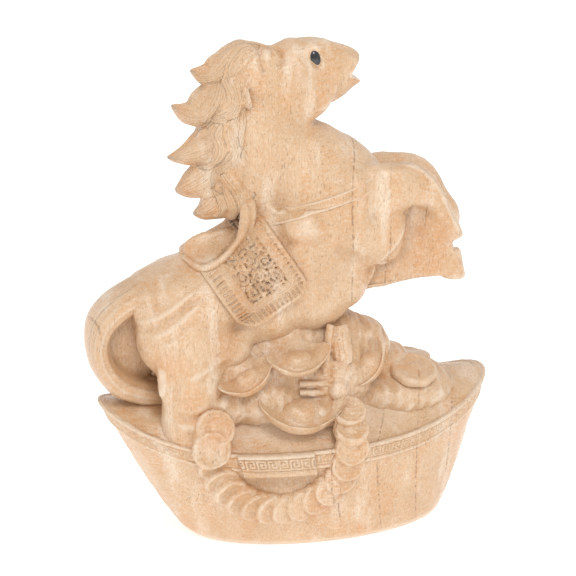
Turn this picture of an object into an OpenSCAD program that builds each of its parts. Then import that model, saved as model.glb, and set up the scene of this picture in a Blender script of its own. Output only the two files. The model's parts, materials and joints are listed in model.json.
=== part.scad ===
// Rearing horse on a boat-shaped gold ingot, a table figurine carved from one block of wood.
// +X is the way the horse faces, -Y is its near side, +Z is up.
// The origin lies in the flat bottom face. All sizes are in millimetres.

/* [Ingot] */
// Half length of the ingot at its rim
ingot_half_l = 43.2; // [40:0.2:45]
// Half depth of the ingot at its rim
ingot_half_d = 19.6; // [18:0.2:22]
// Half length of the flat bottom
foot_half_l = 28.4; // [26:0.2:31]
// Half depth of the flat bottom
foot_half_d = 13.6; // [11:0.5:15]
// How far the flat bottom sits towards the head end
foot_x = 4.6; // [0:0.2:6]
// Height of the rim at the middle of the front
rim_z = 25; // [23:0.5:27]
// How far the rim rises at the two tips
tip_rise = 8; // [6:0.5:10]
// Height of the deck that the horse stands on
deck_z = 33; // [31:0.5:34]
// Height of the ornamental band under the rim
band_h = 4.4; // [3:0.2:6]
// How far the band's two edge beads stand out
bead_out = 0.6; // [0.3:0.1:1]
// How far the plaque between the ends of the string stands out
plaque_out = 1.3; // [0.8:0.1:2]
// Angle round the ingot at which the plaque starts
plaque_from = 247; // [242:0.5:250]
// Angle round the ingot at which the plaque ends
plaque_to = 268.8; // [266:0.2:274]

/* [Treasure] */
// Radius of the coins on the string
string_coin_r = 3.9; // [3.2:0.1:4.2]
// Number of coins on the string
string_coins = 18; // [14:1:20]
// Half width of the U in which the string hangs
string_half_w = 14.7; // [13:0.2:16]
// Drop of the U below its two upper ends
string_drop = 16.1; // [13:0.2:17]
// Radius of the loose coins
coin_r = 5.2; // [4:0.2:6]
// Thickness of every coin
coin_t = 2.2; // [1.2:0.1:2.6]
// Length of a small ingot from tip to tip
small_ingot_l = 15; // [12:0.5:17]

/* [Horse] */
// Greatest half width of the barrel
barrel_half_w = 12.6; // [11:0.2:13.5]
// Half width of the uncut wood between the forelegs at their front
web_half_w = 9.4; // [7:0.2:9.8]
// Diameter of an eye bead
eye_d = 3; // [2.4:0.1:3.4]

/* [Tack] */
// Thickness of the saddle cloth
cloth_t = 1.1; // [0.6:0.1:1.5]
// Length of the saddle cloth along the horse's side
cloth_l = 17; // [14:0.2:18]
// Drop of the saddle cloth down the horse's side
cloth_drop = 18.4; // [15:0.2:20]
// Thickness of the saddle's seat
seat_t = 1.8; // [1.2:0.1:2.4]
// Radius of the saddle's rolled edge
roll_r = 0.95; // [0.8:0.05:1.2]
// Thickness of the breast strap
strap_t = 0.9; // [0.6:0.1:1.4]
// Width of the breast strap
strap_w = 2.6; // [2:0.1:3.4]

/* [Hidden] */

wood = "burlywood";
pale_wood = "wheat";
round_fn = 12;

// ---------- Helpers ----------

// Point between b and c on a smooth curve through a, b, c and d.
function between(a, b, c, d, t) =
    0.5 * (2 * b + (c - a) * t + (2 * a - 5 * b + 4 * c - d) * t * t
           + (3 * b - a - 3 * c + d) * t * t * t);

// Rows of numbers made denser along a smooth curve.
function denser(rows, steps) = let (last = len(rows) - 1) [
    for (i = [0 : last - 1], s = [0 : steps - 1])
        between(rows[max(i - 1, 0)], rows[i], rows[i + 1], rows[min(i + 2, last)], s / steps),
    rows[last]
];

// Lean of a path in the XZ plane at one of its rows, in degrees.
function lean(rows, i) = let (a = rows[max(i - 1, 0)], b = rows[min(i + 1, len(rows) - 1)])
    atan2(b[2] - a[2], b[0] - a[0]);

// Oval section of a row [x, y, z, half height, half width], square to its path.
function section(row, tilt, n, grow) = [
    for (i = [0 : n - 1])
        let (a = 360 * i / n, up = (row[3] + grow) * sin(a), out = (row[4] + grow) * cos(a))
        [row[0] - up * sin(tilt), row[1] + out, row[2] + up * cos(tilt)]
];

// A skin over rings of equally many points, capped at both ends or closed into a loop.
module skin(rings, loop = false) {
    n = len(rings[0]);
    m = len(rings);
    points = [for (r = rings) each r];
    sides = [
        for (j = [0 : m - (loop ? 1 : 2)], i = [0 : n - 1])
            let (k = (i + 1) % n, a = j * n, b = ((j + 1) % m) * n,
                 rising = norm(points[a + i] - points[b + k]) <= norm(points[a + k] - points[b + i]))
            each rising ? [[a + i, b + k, a + k], [a + i, b + i, b + k]]
                        : [[a + i, b + i, a + k], [a + k, b + i, b + k]]
    ];
    ends = loop ? [] : [[for (i = [0 : n - 1]) i], [for (i = [n - 1 : -1 : 0]) (m - 1) * n + i]];
    polyhedron(points, concat(sides, ends), convexity = 8);
}

// A limb, neck or body: a skin over oval sections along a smooth path.
module loft(rows, n = 12, steps = 2, grow = 0) {
    path = denser(rows, steps);
    skin([for (i = [0 : len(path) - 1]) section(path[i], lean(path, i), n, grow)]);
}

// A rounded ellipsoid at a place.
module lump(at, radii, tilt = 0, fn = round_fn)
    translate(at) rotate([0, tilt, 0]) scale(radii) sphere(1, $fn = fn);

// Overlapping hulls through rows [x, y, z, r], flattened in Y by a factor.
module strand(rows, flat = 1, fn = 8)
    for (i = [0 : len(rows) - 2])
        hull()
            for (r = [rows[i], rows[i + 1]])
                translate([r[0], r[1], r[2]]) scale([1, flat, 1]) sphere(r[3], $fn = fn);

// The same shape on the far side too.
module both_sides() {
    children();
    mirror([0, 1, 0]) children();
}

// ---------- Ingot ----------

around = [for (i = [0 : 47]) 7.5 * i];

// Angles of the band: denser where the plaque begins and ends.
band_around = [
    for (u = around) if (u < plaque_from - 2) u,
    plaque_from - 0.5, plaque_from,
    for (u = around) if (u > plaque_from + 2 && u < plaque_to - 2) u,
    plaque_to, plaque_to + 0.5,
    for (u = around) if (u > plaque_to + 2) u
];

function rim_height(u) = rim_z + tip_rise * pow(abs(cos(u)), 3.2);
function flare(v) = pow(max(v, 0), 0.8);
function wall_half_l(v) = foot_half_l + (ingot_half_l - foot_half_l) * flare(v);
function wall_half_d(v) = foot_half_d + (ingot_half_d - foot_half_d) * flare(v);

// Point on the outer wall: u round it, v up it from 0 to 1, and how far it stands out.
function wall(u, v, out = 0) =
    [foot_x * (1 - flare(v)) + (wall_half_l(v) + out) * cos(u), (wall_half_d(v) + out) * sin(u),
     v * rim_height(u)];

// Point on the wall at a drop below the rim.
function below_rim(u, drop, out = 0) = wall(u, 1 - drop / rim_height(u), out);

// Point on the deck, at a share of the way from its middle to the rim.
function deck(u, share) = let (edge = below_rim(u, 0.8, -1.8))
    [edge[0] * share, edge[1] * share, edge[2] + (deck_z - edge[2]) * (1 - pow(share, 2.4))];

module ingot_skin()
    skin(concat(
        [for (v = [-0.04, 0, 0.08, 0.2, 0.4, 0.6]) [for (u = around) wall(u, v)]],
        [for (drop = [band_h, 0]) [for (u = around) below_rim(u, drop)]],
        [for (share = [1, 0.75, 0.45, 0.15]) [for (u = around) deck(u, share)]]
    ));

module ingot_base()
    color(wood)
        difference() {
            ingot_skin();
            translate([-foot_half_l * 2, -foot_half_d * 2, -10])
                cube([foot_half_l * 4, foot_half_d * 4, 10]);
        }

// The plaque fills the band between the two ends of the string.
function on_plaque(u) = u >= plaque_from && u <= plaque_to;

// Rows of the band from its foot to the rim: drop below the rim, and how far it stands out.
band_rows = [
    [band_h, 0], [band_h, bead_out], [band_h - 0.7, bead_out], [band_h - 0.9, 0.2], [0.9, 0.2],
    [0.7, bead_out], [0.1, bead_out], [0, 0]
];
plaque_rows = [
    [band_h + 0.8, 0], [band_h + 0.8, plaque_out + 0.6], [band_h - 0.5, plaque_out + 0.7],
    [band_h - 0.7, plaque_out], [0.9, plaque_out], [0.7, plaque_out + 0.3], [0, plaque_out + 0.2], [0, 0]
];

module rim_band()
    color(pale_wood)
        skin([
            for (i = [0 : len(band_rows) - 1])
                [for (u = band_around) let (r = on_plaque(u) ? plaque_rows[i] : band_rows[i])
                    below_rim(u, r[0], r[1])]
        ], loop = true);

// ---------- Horse ----------

torso_rows = [
    [-36, 0, 51.6, 3, 4], [-34.5, 0, 52, 7, 8.5], [-29.5, 0, 53.2, 8.8, 11.6],
    [-22, 0, 55.4, 9.2, barrel_half_w], [-14, 0, 58.2, 9.5, barrel_half_w], [-6, 0, 61.2, 12, barrel_half_w],
    [2.6, 0, 66.9, 15.4, barrel_half_w], [6, 0, 75.5, 14.2, 12], [1.6, 0, 83.2, 10.2, 9.6],
    [-3, 0, 89.6, 6.8, 7.4], [-5, 0, 96.5, 6.4, 6.2], [-5.5, 0, 102.5, 5.4, 5.4], [-6, 0, 107, 2, 2.6]
];

head_rows = [
    [-9, 0, 104, 3.2, 3], [-5, 0, 102.6, 7, 5.6], [-1, 0, 101.2, 8.8, 6.4], [3, 0, 101.2, 8.8, 6],
    [7, 0, 102.2, 7, 4.8], [10.5, 0, 102.8, 5.3, 3.9], [12.8, 0, 102.7, 4.3, 3.4], [14.4, 0, 102.4, 3.5, 3],
    [15.4, 0, 102.2, 3, 2.6]
];

hind_leg_rows = [
    [-24, -3, 61, 4, 4], [-25, -5.4, 55, 9, 6.6], [-25, -7, 48.6, 9.6, 6.8], [-24.8, -8.8, 42, 7.6, 5.8],
    [-24.8, -9.8, 37, 6.6, 5.2], [-24.6, -10.4, 33, 6.8, 5], [-24, -10.6, 28.6, 7.2, 5]
];

near_foreleg_rows = [
    [8, -6, 73, 10, 5], [14, -7.6, 76.4, 7.6, 4.6], [20, -8, 78.6, 5.4, 3.8], [25, -8, 77.8, 4.4, 3.3],
    [28.6, -8, 73.8, 3, 2.7], [31.6, -8, 69, 2.6, 2.5], [32.6, -8, 65.8, 2.8, 2.6]
];

far_foreleg_rows = [
    [8, 6, 73, 10, 5], [16, 7.4, 75.4, 6.4, 4.4], [23, 8, 77, 4.6, 3.8], [29.4, 8, 76.4, 3.8, 3.2],
    [34, 8, 71, 2.9, 2.7], [37.2, 8, 65.4, 2.8, 2.6], [35, 7.8, 61.8, 2.6, 2.4]
];

// The uncut wood between the forelegs, as rows [x, z, half width].
web_rows = [
    [17, 77, web_half_w - 1.8], [26, 76, web_half_w], [31, 69.6, web_half_w], [18, 67, web_half_w - 1.6],
    [34, 58.2, web_half_w], [25, 58, web_half_w - 0.8], [14, 55, web_half_w - 1.4]
];
web_faces = [[0, 1, 2, 3], [3, 2, 4, 5], [3, 5, 6]];

module web()
    for (f = web_faces)
        hull()
            for (i = f)
                translate([web_rows[i][0], 0, web_rows[i][1]])
                    scale([1, web_rows[i][2], 1]) sphere(1, $fn = 12);

module hoof(at, tilt)
    translate(at) rotate([0, tilt, 0])
        hull() {
            translate([-0.4, 0, 2.8]) cylinder(r = 2.2, h = 1, $fn = round_fn);
            translate([0.2, 0, -3.4]) cylinder(r = 3, h = 1.4, $fn = round_fn);
        }

module ear()
    hull() {
        lump([-5.2, -4.6, 101.6], [1.5, 1.2, 1.4]);
        lump([-5.4, -4.4, 105.6], [2, 1.2, 1.8]);
        lump([-6, -3.2, 109], [0.8, 0.6, 0.7]);
    }

module mouth_cut()
    rotate([90, 0, 0])
        linear_extrude(16, center = true)
            polygon([[12.1, 100.8], [12.1, 101.7], [17, 110.1], [19, 110.1], [19, 96], [17.4, 97.1]]);

// Muscles of the near side: a point, three radii and a tilt. The breast strap runs over the front ones.
front_muscles = [
    [[-6, -1.4, 85], [7, 6.6, 13], 4], [[0, -8.6, 71], [6, 4.4, 5], 0], [[11, -6.6, 71.4], [9, 5.6, 11], -18]
];
hind_muscles = [[[-26, -5.6, 50.6], [9.8, 7.8, 12], 14], [[-31, -11, 41.4], [1.6, 1.8, 6], 0]];

// The deep belly, which runs down into the heap.
belly = [
    [[6, 0, 60], [9.6, 10.4, 9], 35], [[-8, 0, 52.6], [11.4, 11.6, 9], 0], [[2.4, 0, 55], [10, 11.6, 9.4], 0],
    [[8.4, 0, 57.4], [7.6, 10.8, 7.6], 0]
];

module muscles(rows, grow = 0)
    for (m = rows) lump(m[0], m[1] + [grow, grow, grow], m[2]);

// Cheek and nostril, which belong to the head and keep its width.
module head_lumps() {
    lump([0.6, -4.4, 98.6], [6, 2.4, 6]);
    lump([11, -2, 104.8], [2.4, 1.8, 1.6], 20);
}

module horse_form() {
    loft(torso_rows, 20);
    for (b = belly) lump(b[0], b[1], b[2], 16);
    loft(head_rows, 16);
    both_sides() {
        loft(hind_leg_rows);
        muscles(front_muscles);
        muscles(hind_muscles);
        hoof([-28.4, -12.2, 31.6], 8);
        head_lumps();
        ear();
    }
    loft(near_foreleg_rows);
    loft(far_foreleg_rows);
    web();
    hoof([33.4, -8, 60.4], 0);
    hoof([33.6, 7.8, 60.4], 0);
}

eye_at = [2.8, -4.7, 106];

module horse()
    color(pale_wood)
        difference() {
            horse_form();
            mouth_cut();
            both_sides() translate(eye_at) sphere(d = eye_d, $fn = 20);
            ingot_skin();
        }

module eye(side)
    color("black")
        mirror([0, side, 0]) translate(eye_at) sphere(d = eye_d, $fn = 32);

// ---------- Mane and tail ----------

// Locks of the mane from root to tip, as rows [x, y, z, r].
mane_locks = [
    [[-7, 0, 105, 4], [-13, 0, 104.8, 4], [-18.4, 0, 103.2, 2.6], [-21.6, 0, 104, 0.4]],
    [[-11, 0, 98.6, 5], [-17, 0, 97, 4.8], [-22.4, 0, 95.4, 2.6], [-25.6, 0, 96.8, 0.4]],
    [[-11, 0, 91, 5.4], [-18, 0, 88.6, 4.4], [-23.6, 0, 86.2, 2], [-27.1, 0, 85.8, 0.3]],
    [[-11, 0, 85, 5.4], [-17.6, 0, 81.8, 4.4], [-22.8, 0, 79.3, 2.4], [-25.4, 0, 78.5, 0.4]],
    [[-10.6, 0, 79, 5], [-15.6, 0, 76, 4], [-19.6, 0, 73.8, 1.9], [-21.7, 0, 73.3, 0.4]]
];

// The hair on the crest of the neck that the locks grow from.
crest = [[-8.6, 0, 104.4, 5], [-12, 0, 97, 6.6], [-13.4, 0, 89, 7.4], [-13, 0, 82, 6.6], [-12, 0, 77.4, 4.6]];

// Wavy locks lying on the side of the neck.
side_locks = [
    [[-8, -3.6, 105, 2.4], [-13, -4.6, 100, 2.8], [-13.4, -5.6, 93, 3], [-16, -5.2, 86, 2.4], [-19.4, -3, 82.6, 0.8]],
    [[-9, -6, 97, 2], [-9.4, -6.4, 90, 2.6], [-12.4, -7, 84, 2.6], [-12.6, -6.6, 79.4, 2], [-14.6, -5, 75, 0.8]],
    [[-7.4, -6, 88.4, 1.9], [-7.2, -7.6, 84, 2.1], [-9.8, -8, 80.4, 1.8], [-12.8, -7.2, 76.4, 0.8]]
];

module mane()
    color(wood)
        difference() {
            union() {
                strand(crest, 1, 14);
                for (lock = mane_locks) strand(lock, 1.2);
                both_sides() for (lock = side_locks) strand(lock);
            }
            horse_form();
            seat();
            cloth();
        }

tail_rows = [
    [-29, 1, 58.6, 4, 6], [-33.5, 0.6, 57, 3.4, 6.4], [-38.5, 0, 54.6, 2.7, 6.6], [-42, 0, 51.2, 2.6, 6.6],
    [-43.3, 0, 46.6, 2.5, 6.6], [-42, 0, 41.4, 2.6, 6.4], [-38.5, 0, 37, 3, 6], [-33, 0, 34.6, 3, 5]
];

module tail()
    color(wood)
        difference() {
            union() {
                loft(tail_rows, 14);
                lump([-35.6, 1.2, 46.6], [7.8, 3.4, 10.6], 6, 20);
            }
            horse_form();
            ingot_skin();
        }

// ---------- Saddle, cloth and strap ----------

// A flat outline in the XZ plane, pushed right through the horse.
module through(outline)
    rotate([90, 0, 0]) linear_extrude(60, center = true) polygon(outline);

module body_layer(t) loft(torso_rows, 20, 2, t);

// The saddle's rolled edge on the near side, from behind round the seat and up to the pommel's tip.
// Each point lies beside the middle by a share of the barrel's half width.
edge_rows = [
    for (r = [
        [-25.2, 0.14, 64.5], [-24.3, 0.4, 64.4], [-22.6, 0.61, 64], [-20.6, 0.68, 64.3], [-18, 0.66, 65.5],
        [-15.2, 0.56, 67.5], [-13.6, 0.49, 68.9], [-12.6, 0.46, 71.1], [-12, 0.48, 75.7], [-11.5, 0.48, 79.4]
    ]) [r[0], -r[1] * barrel_half_w, r[2]]
];

// The ridge along the middle of the saddle, row for row beside its edge.
ridge_rows = [
    [-25.3, 0, 65.2], [-24.9, 0, 66.6], [-23.2, 0, 68.1], [-20.6, 0, 69], [-17.4, 0, 69.5],
    [-15, 0, 70.2], [-13.4, 0, 70.6], [-12.4, 0, 72], [-11.3, 0, 74.8], [-10.4, 0, 77.4]
];

// The seat slopes from its ridge to its edge and fills the room down to the horse's back.
module seat()
    both_sides() {
        for (i = [0 : len(edge_rows) - 2])
            hull()
                for (k = [i, i + 1]) {
                    translate(ridge_rows[k]) sphere(seat_t / 2, $fn = 8);
                    translate(edge_rows[k]) sphere(seat_t / 2, $fn = 8);
                    translate(ridge_rows[k] - [-1, 0, 6]) sphere(seat_t / 2, $fn = 8);
                }
        strand([for (r = edge_rows) [r[0], r[1], r[2] + 0.3, roll_r]]);
    }

module saddle()
    color(pale_wood)
        difference() {
            seat();
            horse_form();
        }

cloth_tilt = 32.5;

module cloth()
    intersection() {
        body_layer(cloth_t);
        translate([-13.3, 0, 63]) rotate([90, -cloth_tilt, 0])
            linear_extrude(60, center = true)
                offset(r = 2, $fn = 16) square([cloth_l - 4, cloth_drop - 4], center = true);
    }

module saddle_cloth()
    color(wood)
        difference() {
            cloth();
            horse_form();
            seat();
        }

module breast_strap()
    color(wood)
        difference() {
            intersection() {
                union() {
                    body_layer(strap_t);
                    both_sides() muscles(front_muscles, strap_t);
                }
                translate([1, 0, 76]) rotate([0, -17, 0]) cube([60, 60, strap_w], center = true);
                translate([-8, -30, 60]) cube([40, 60, 40]);
            }
            horse_form();
            seat();
            cloth();
        }

// ---------- Treasure ----------

module mound_form() {
    lump([-3, 0, 36], [18, 12.6, 16], 0, 20);
    lump([8, 0, 38], [10, 10.6, 11.8], 0, 16);
    lump([24, 0, 32.2], [11, 10, 3.8], 0, 16);
    lump([-17, -4, 34.6], [7, 9.6, 8], 0, 16);
    lump([-9, -4, 33.4], [11, 11.2, 7], 0, 16);
    lump([1, -5, 30.6], [13, 12, 4.6], 0, 16);
    lump([15.4, -1, 40.6], [5.4, 7.6, 6.4], 0, 16);
}

module treasure_mound()
    color(wood)
        difference() {
            mound_form();
            horse_form();
            ingot_skin();
            for (p = loose_ingots) place(p) small_ingot();
            for (p = coins_at) place(p) coin(coin_r);
            bead();
        }

// Places of the small ingots: a point, a turn about each axis, and the size as a share.
loose_ingots = [
    [[-13.8, -13, 40.6], [24, -24, 8], 0.84],
    [[-2.4, -12.2, 43.6], [34, -5, 4], 0.94],
    [[-2.1, -14.2, 33], [28, 2, 0], 1.3],
    [[12.4, -9.8, 39.6], [30, -46, 0], 0.94],
    [[14.6, 3.6, 42.4], [-6, 10, 0], 0.8],
    [[-10, 13.4, 40.4], [-20, 15, 0], 0.94],
    [[2, 14, 34], [-26, -4, 0], 1.2]
];

// Places of the loose coins.
coins_at = [
    [[24.4, -6.8, 36], [26, 0, 0]],
    [[27.4, 5, 34.6], [-8, 8, 0]],
    [[17, 11, 36], [-30, 10, 0]],
    [[-15, 14.6, 35], [-36, -10, 0]],
    [[-4, 15.4, 33], [-40, 0, 0]]
];

module place(p) translate(p[0]) rotate(p[1]) scale(len(p) > 2 ? p[2] : 1) children();

module coin(r, fn = 20)
    hull() {
        cylinder(r = r - 0.4, h = coin_t, center = true, $fn = fn);
        cylinder(r = r, h = coin_t * 0.5, center = true, $fn = fn);
    }

// A boat with raised ends and a dome between them.
module small_ingot() {
    scale(small_ingot_l)
        loft([
            [-0.5, 0, 0.15, 0.02, 0.03], [-0.4, 0, 0.05, 0.1, 0.17], [-0.2, 0, -0.06, 0.17, 0.26],
            [0, 0, -0.09, 0.19, 0.29], [0.2, 0, -0.06, 0.17, 0.26], [0.4, 0, 0.05, 0.1, 0.17],
            [0.5, 0, 0.15, 0.02, 0.03]
        ], 10, 1);
    lump([0, 0, small_ingot_l * 0.09], [small_ingot_l * 0.2, small_ingot_l * 0.16, small_ingot_l * 0.12], 0, 10);
}

module small_ingots()
    color(pale_wood)
        difference() {
            for (p = loose_ingots) place(p) small_ingot();
            horse_form();
            ingot_skin();
            for (p = coins_at) place(p) coin(coin_r);
            string_form();
        }

module loose_coins()
    color(pale_wood)
        difference() {
            for (p = coins_at) place(p) coin(coin_r);
            horse_form();
            ingot_skin();
        }

// Point on the string, t from 0 to 180 where it hangs and beyond that where it lies on the deck.
function string_point(t) =
    let (a = min(max(t, 0), 180), over = abs(t - a) / 10,
         x = -7 + string_half_w * cos(a), z = rim_z + 2 - string_drop * pow(sin(a), 0.9),
         u = acos((x - foot_x / 2) / ingot_half_l), v = min(z / rim_height(u), 1))
    [x, 1.7 * over - wall_half_d(v) * sin(u), z + 2.4 * over];

module bead() translate([6.2, -13, 36]) sphere(2.5, $fn = 16);

// The tassel lies against the belly and two cords cross the mound.
module tassel() {
    for (i = [0 : 3])
        strand([[6.2 + 1.2 * i, -10, 46.8, 0.8], [6.4 + 1.2 * i, -11, 41.4, 0.9]]);
    for (drop = [0, 2])
        strand([[-2, -13.6, 38 - drop, 0.6], [3.4, -14, 37.6 - drop, 0.7]]);
}

module string_form() {
    for (i = [0 : string_coins - 1])
        let (t = 205 - 225 * i / (string_coins - 1), hung = t > 0 && t < 180, a = min(max(t, 0), 180),
             turn = -atan2(string_drop * cos(a), string_half_w * sin(a)))
        translate(string_point(t)) rotate([hung ? 14 : -42, 0, 0])
            rotate([0, turn, 0]) rotate([90, 0, 0]) rotate([0, 13, 0]) coin(string_coin_r, 14);
    bead();
    tassel();
}

module coin_string()
    color(pale_wood)
        difference() {
            string_form();
            ingot_skin();
            rim_band();
            horse_form();
        }

ingot_base();
rim_band();
horse();
mane();
tail();
saddle();
saddle_cloth();
breast_strap();
treasure_mound();
small_ingots();
loose_coins();
coin_string();
eye(0);  // near_eye
eye(1);  // far_eye
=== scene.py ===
"""Carved rearing horse on a boat-shaped gold ingot: the looks of the figurine.

Every form is carved wood and rides on the one rigid body. Pieces are modelled in millimetres in the
frame of the CAD model (+X is the way the horse faces, -Y is its near side, +Z is up) and brought to
metres when they are finished.
"""
import sys
import json
import logging
import math
from collections.abc import Callable, Sequence
from dataclasses import dataclass, field
from enum import Enum

import bpy
import numpy as np
from mathutils import Matrix, Vector
from mathutils.bvhtree import BVHTree

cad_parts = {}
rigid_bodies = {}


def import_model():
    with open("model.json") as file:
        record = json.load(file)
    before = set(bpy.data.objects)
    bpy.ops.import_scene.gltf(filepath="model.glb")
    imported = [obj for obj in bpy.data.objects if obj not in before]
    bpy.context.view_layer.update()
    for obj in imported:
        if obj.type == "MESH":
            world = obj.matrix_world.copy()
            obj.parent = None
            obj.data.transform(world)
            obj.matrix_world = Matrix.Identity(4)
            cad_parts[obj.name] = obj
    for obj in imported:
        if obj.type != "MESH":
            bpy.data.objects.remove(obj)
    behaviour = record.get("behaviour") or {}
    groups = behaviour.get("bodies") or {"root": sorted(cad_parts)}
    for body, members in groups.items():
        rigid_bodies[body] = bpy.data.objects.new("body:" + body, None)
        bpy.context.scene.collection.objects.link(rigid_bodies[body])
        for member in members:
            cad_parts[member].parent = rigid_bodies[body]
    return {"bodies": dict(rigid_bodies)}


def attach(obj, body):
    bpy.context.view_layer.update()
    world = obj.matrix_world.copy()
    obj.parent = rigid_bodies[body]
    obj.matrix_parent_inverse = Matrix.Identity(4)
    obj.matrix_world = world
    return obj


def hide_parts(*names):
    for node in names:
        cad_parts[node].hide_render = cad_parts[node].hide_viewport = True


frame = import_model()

log = logging.getLogger("carving")
BODY = next(iter(frame["bodies"]))
MM = 0.001
FULL_TURN = 2 * math.pi
Array = np.ndarray
Rows = Sequence[Sequence[float]]
Pair = tuple[float, float]
Triple = tuple[float, float, float]
Relief = Callable[[Array, Array], Array]
Socket = bpy.types.NodeSocket
Object = bpy.types.Object


# ---------------- the photograph's view


def way_to(azimuth: float, elevation: float) -> Vector:
    """The way, of length 1, to a camera or a lamp at this turn and height in degrees."""
    a, e = math.radians(azimuth), math.radians(elevation)
    return Vector((math.sin(a) * math.cos(e), -math.cos(a) * math.cos(e), math.sin(e)))


@dataclass(frozen=True)
class PhotoView:
    """The camera of the photograph and the places in it that the carving keeps to."""

    width: int = 576
    height: int = 576
    azimuth: float = -14.0
    elevation: float = 20.0
    distance: float = 420.0
    lens: float = 121.25
    sensor: float = 36.0
    clip: Pair = (0.02, 20.0)
    aim: Triple = (0.0, 0.0, 50.0)
    aim_right: float = -1.5
    aim_up: float = 4.55
    edges: dict[str, float] = field(default_factory=lambda: {
        "left_x": 82, "right_x": 485, "top_y": 34, "bottom_y": 546})
    points: dict[str, Pair] = field(default_factory=lambda: {
        "near_eye": (315.5, 58.6), "cloth_panel": (251, 268), "plaque": (281, 465), "tassel_ball": (338, 389),
        "mane_tip": (174, 109), "saddle_back": (180, 253), "large_dome": (313, 409), "right_disc": (411, 369),
        "lowest_coin": (286, 511), "tail_bowl": (126, 341), "nostril": (339, 68), "toe": (469, 276)})

    def axes(self) -> Matrix:
        """Camera axes as the columns right, up and back."""
        back = way_to(self.azimuth, self.elevation)
        right = way_to(self.azimuth + 90, 0)
        return Matrix((right, back.cross(right), back)).transposed()

    def place(self) -> Vector:
        """Where the camera stands, in metres."""
        right, up, back = self.axes().transposed()
        return (Vector(self.aim) + right * self.aim_right + up * self.aim_up + back * self.distance) * MM

    def make_camera(self) -> None:
        """Adds the camera and makes it the scene's own."""
        bpy.ops.object.camera_add(location=self.place(), rotation=self.axes().to_euler())
        camera = bpy.context.object
        camera.name = "photo_camera"
        camera.data.lens = self.lens
        camera.data.sensor_width = self.sensor
        camera.data.sensor_fit = "AUTO"
        camera.data.clip_start, camera.data.clip_end = self.clip
        bpy.context.scene.camera = camera

    def spot(self, name: str, tree: BVHTree) -> Vector:
        """Finds the place on a surface that shows at a named point.

        Args:
            name: One of the view's points.
            tree: The finished surface that carries the thing, in metres.

        Returns:
            The place in millimetres, or the nearest one to the ray if it misses.
        """
        x, y = self.points[name]
        side = max(self.width, self.height)
        ray = Vector((x - self.width / 2, self.height / 2 - y, -side * self.lens / self.sensor))
        ray = (self.axes() @ ray).normalized()
        start = self.place()
        hit = tree.ray_cast(start, ray)[0]
        if hit is None:
            near = start + ray * (Vector(self.aim) * MM - start).length
            hit = tree.find_nearest(near)[0]
        return hit / MM

    def shows(self, spots: Array) -> Array:
        """Works out where spots show in the picture.

        Args:
            spots: The spots in metres, one row each.

        Returns:
            Their places (x, y), one row each.
        """
        seen = (spots - np.array(self.place())) @ np.array(self.axes())
        side = max(self.width, self.height) * self.lens / self.sensor
        return np.stack([self.width / 2 - side * seen[:, 0] / seen[:, 2],
                         self.height / 2 + side * seen[:, 1] / seen[:, 2]], axis=1)


# ---------------- the bench: shapes in millimetres


# the waves that make a ripple: how many, how their lengths spread, and how high they pile up
RIPPLE_WAVES = 14
RIPPLE_SPREAD = (0.6, 1.4)
RIPPLE_PEAK = 1.4


def denser(rows: Rows, steps: int) -> Array:
    """Makes rows of numbers denser along a smooth curve through them.

    Args:
        rows: The rows to pass through.
        steps: New rows for each given one.

    Returns:
        The denser rows, the last given row among them.
    """
    p = np.array(rows, float)
    last = len(p) - 1
    out = []
    for i in range(last):
        a, b, c, d = p[max(i - 1, 0)], p[i], p[i + 1], p[min(i + 2, last)]
        for s in range(steps):
            t = s / steps
            out.append(0.5 * (2 * b + (c - a) * t + (2 * a - 5 * b + 4 * c - d) * t * t
                              + (3 * b - a - 3 * c + d) * t ** 3))
    return np.array(out + [p[last]])


def rise(x: Array | float, low: float, high: float) -> Array:
    """Smooth step from 0 at low to 1 at high."""
    t = np.clip((x - low) / (high - low), 0.0, 1.0)
    return t * t * (3 - 2 * t)


def run_of(path: Array) -> Array:
    """How far along a path each of its points lies."""
    return np.concatenate([[0], np.cumsum(np.linalg.norm(np.diff(path, axis=0), axis=1))])


def hump(x: Array, middle: float, half: float) -> Array:
    """Soft hump of height 1 at the middle."""
    return np.exp(-((x - middle) / half) ** 2)


def ripple(p: Array, length: float, seed: int) -> Array:
    """Gives a gentle seeded unevenness of about -1 to 1, as a hand-held gouge leaves.

    Args:
        p: Places in millimetres.
        length: Wave length in millimetres.
        seed: Which unevenness.

    Returns:
        One value for each place.
    """
    rng = np.random.default_rng(seed)
    way = rng.normal(size=(RIPPLE_WAVES, 3))
    turns = (FULL_TURN / length) * rng.uniform(*RIPPLE_SPREAD, (RIPPLE_WAVES, 1))
    way *= turns / np.linalg.norm(way, axis=1, keepdims=True)
    waves = np.sin(p @ way.T + rng.uniform(0, FULL_TURN, RIPPLE_WAVES))
    return waves.sum(axis=1) / math.sqrt(RIPPLE_WAVES) / RIPPLE_PEAK


def turn(axis: str, degrees: float) -> Matrix:
    """A turn about one axis."""
    return Matrix.Rotation(math.radians(degrees), 4, axis)


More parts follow.
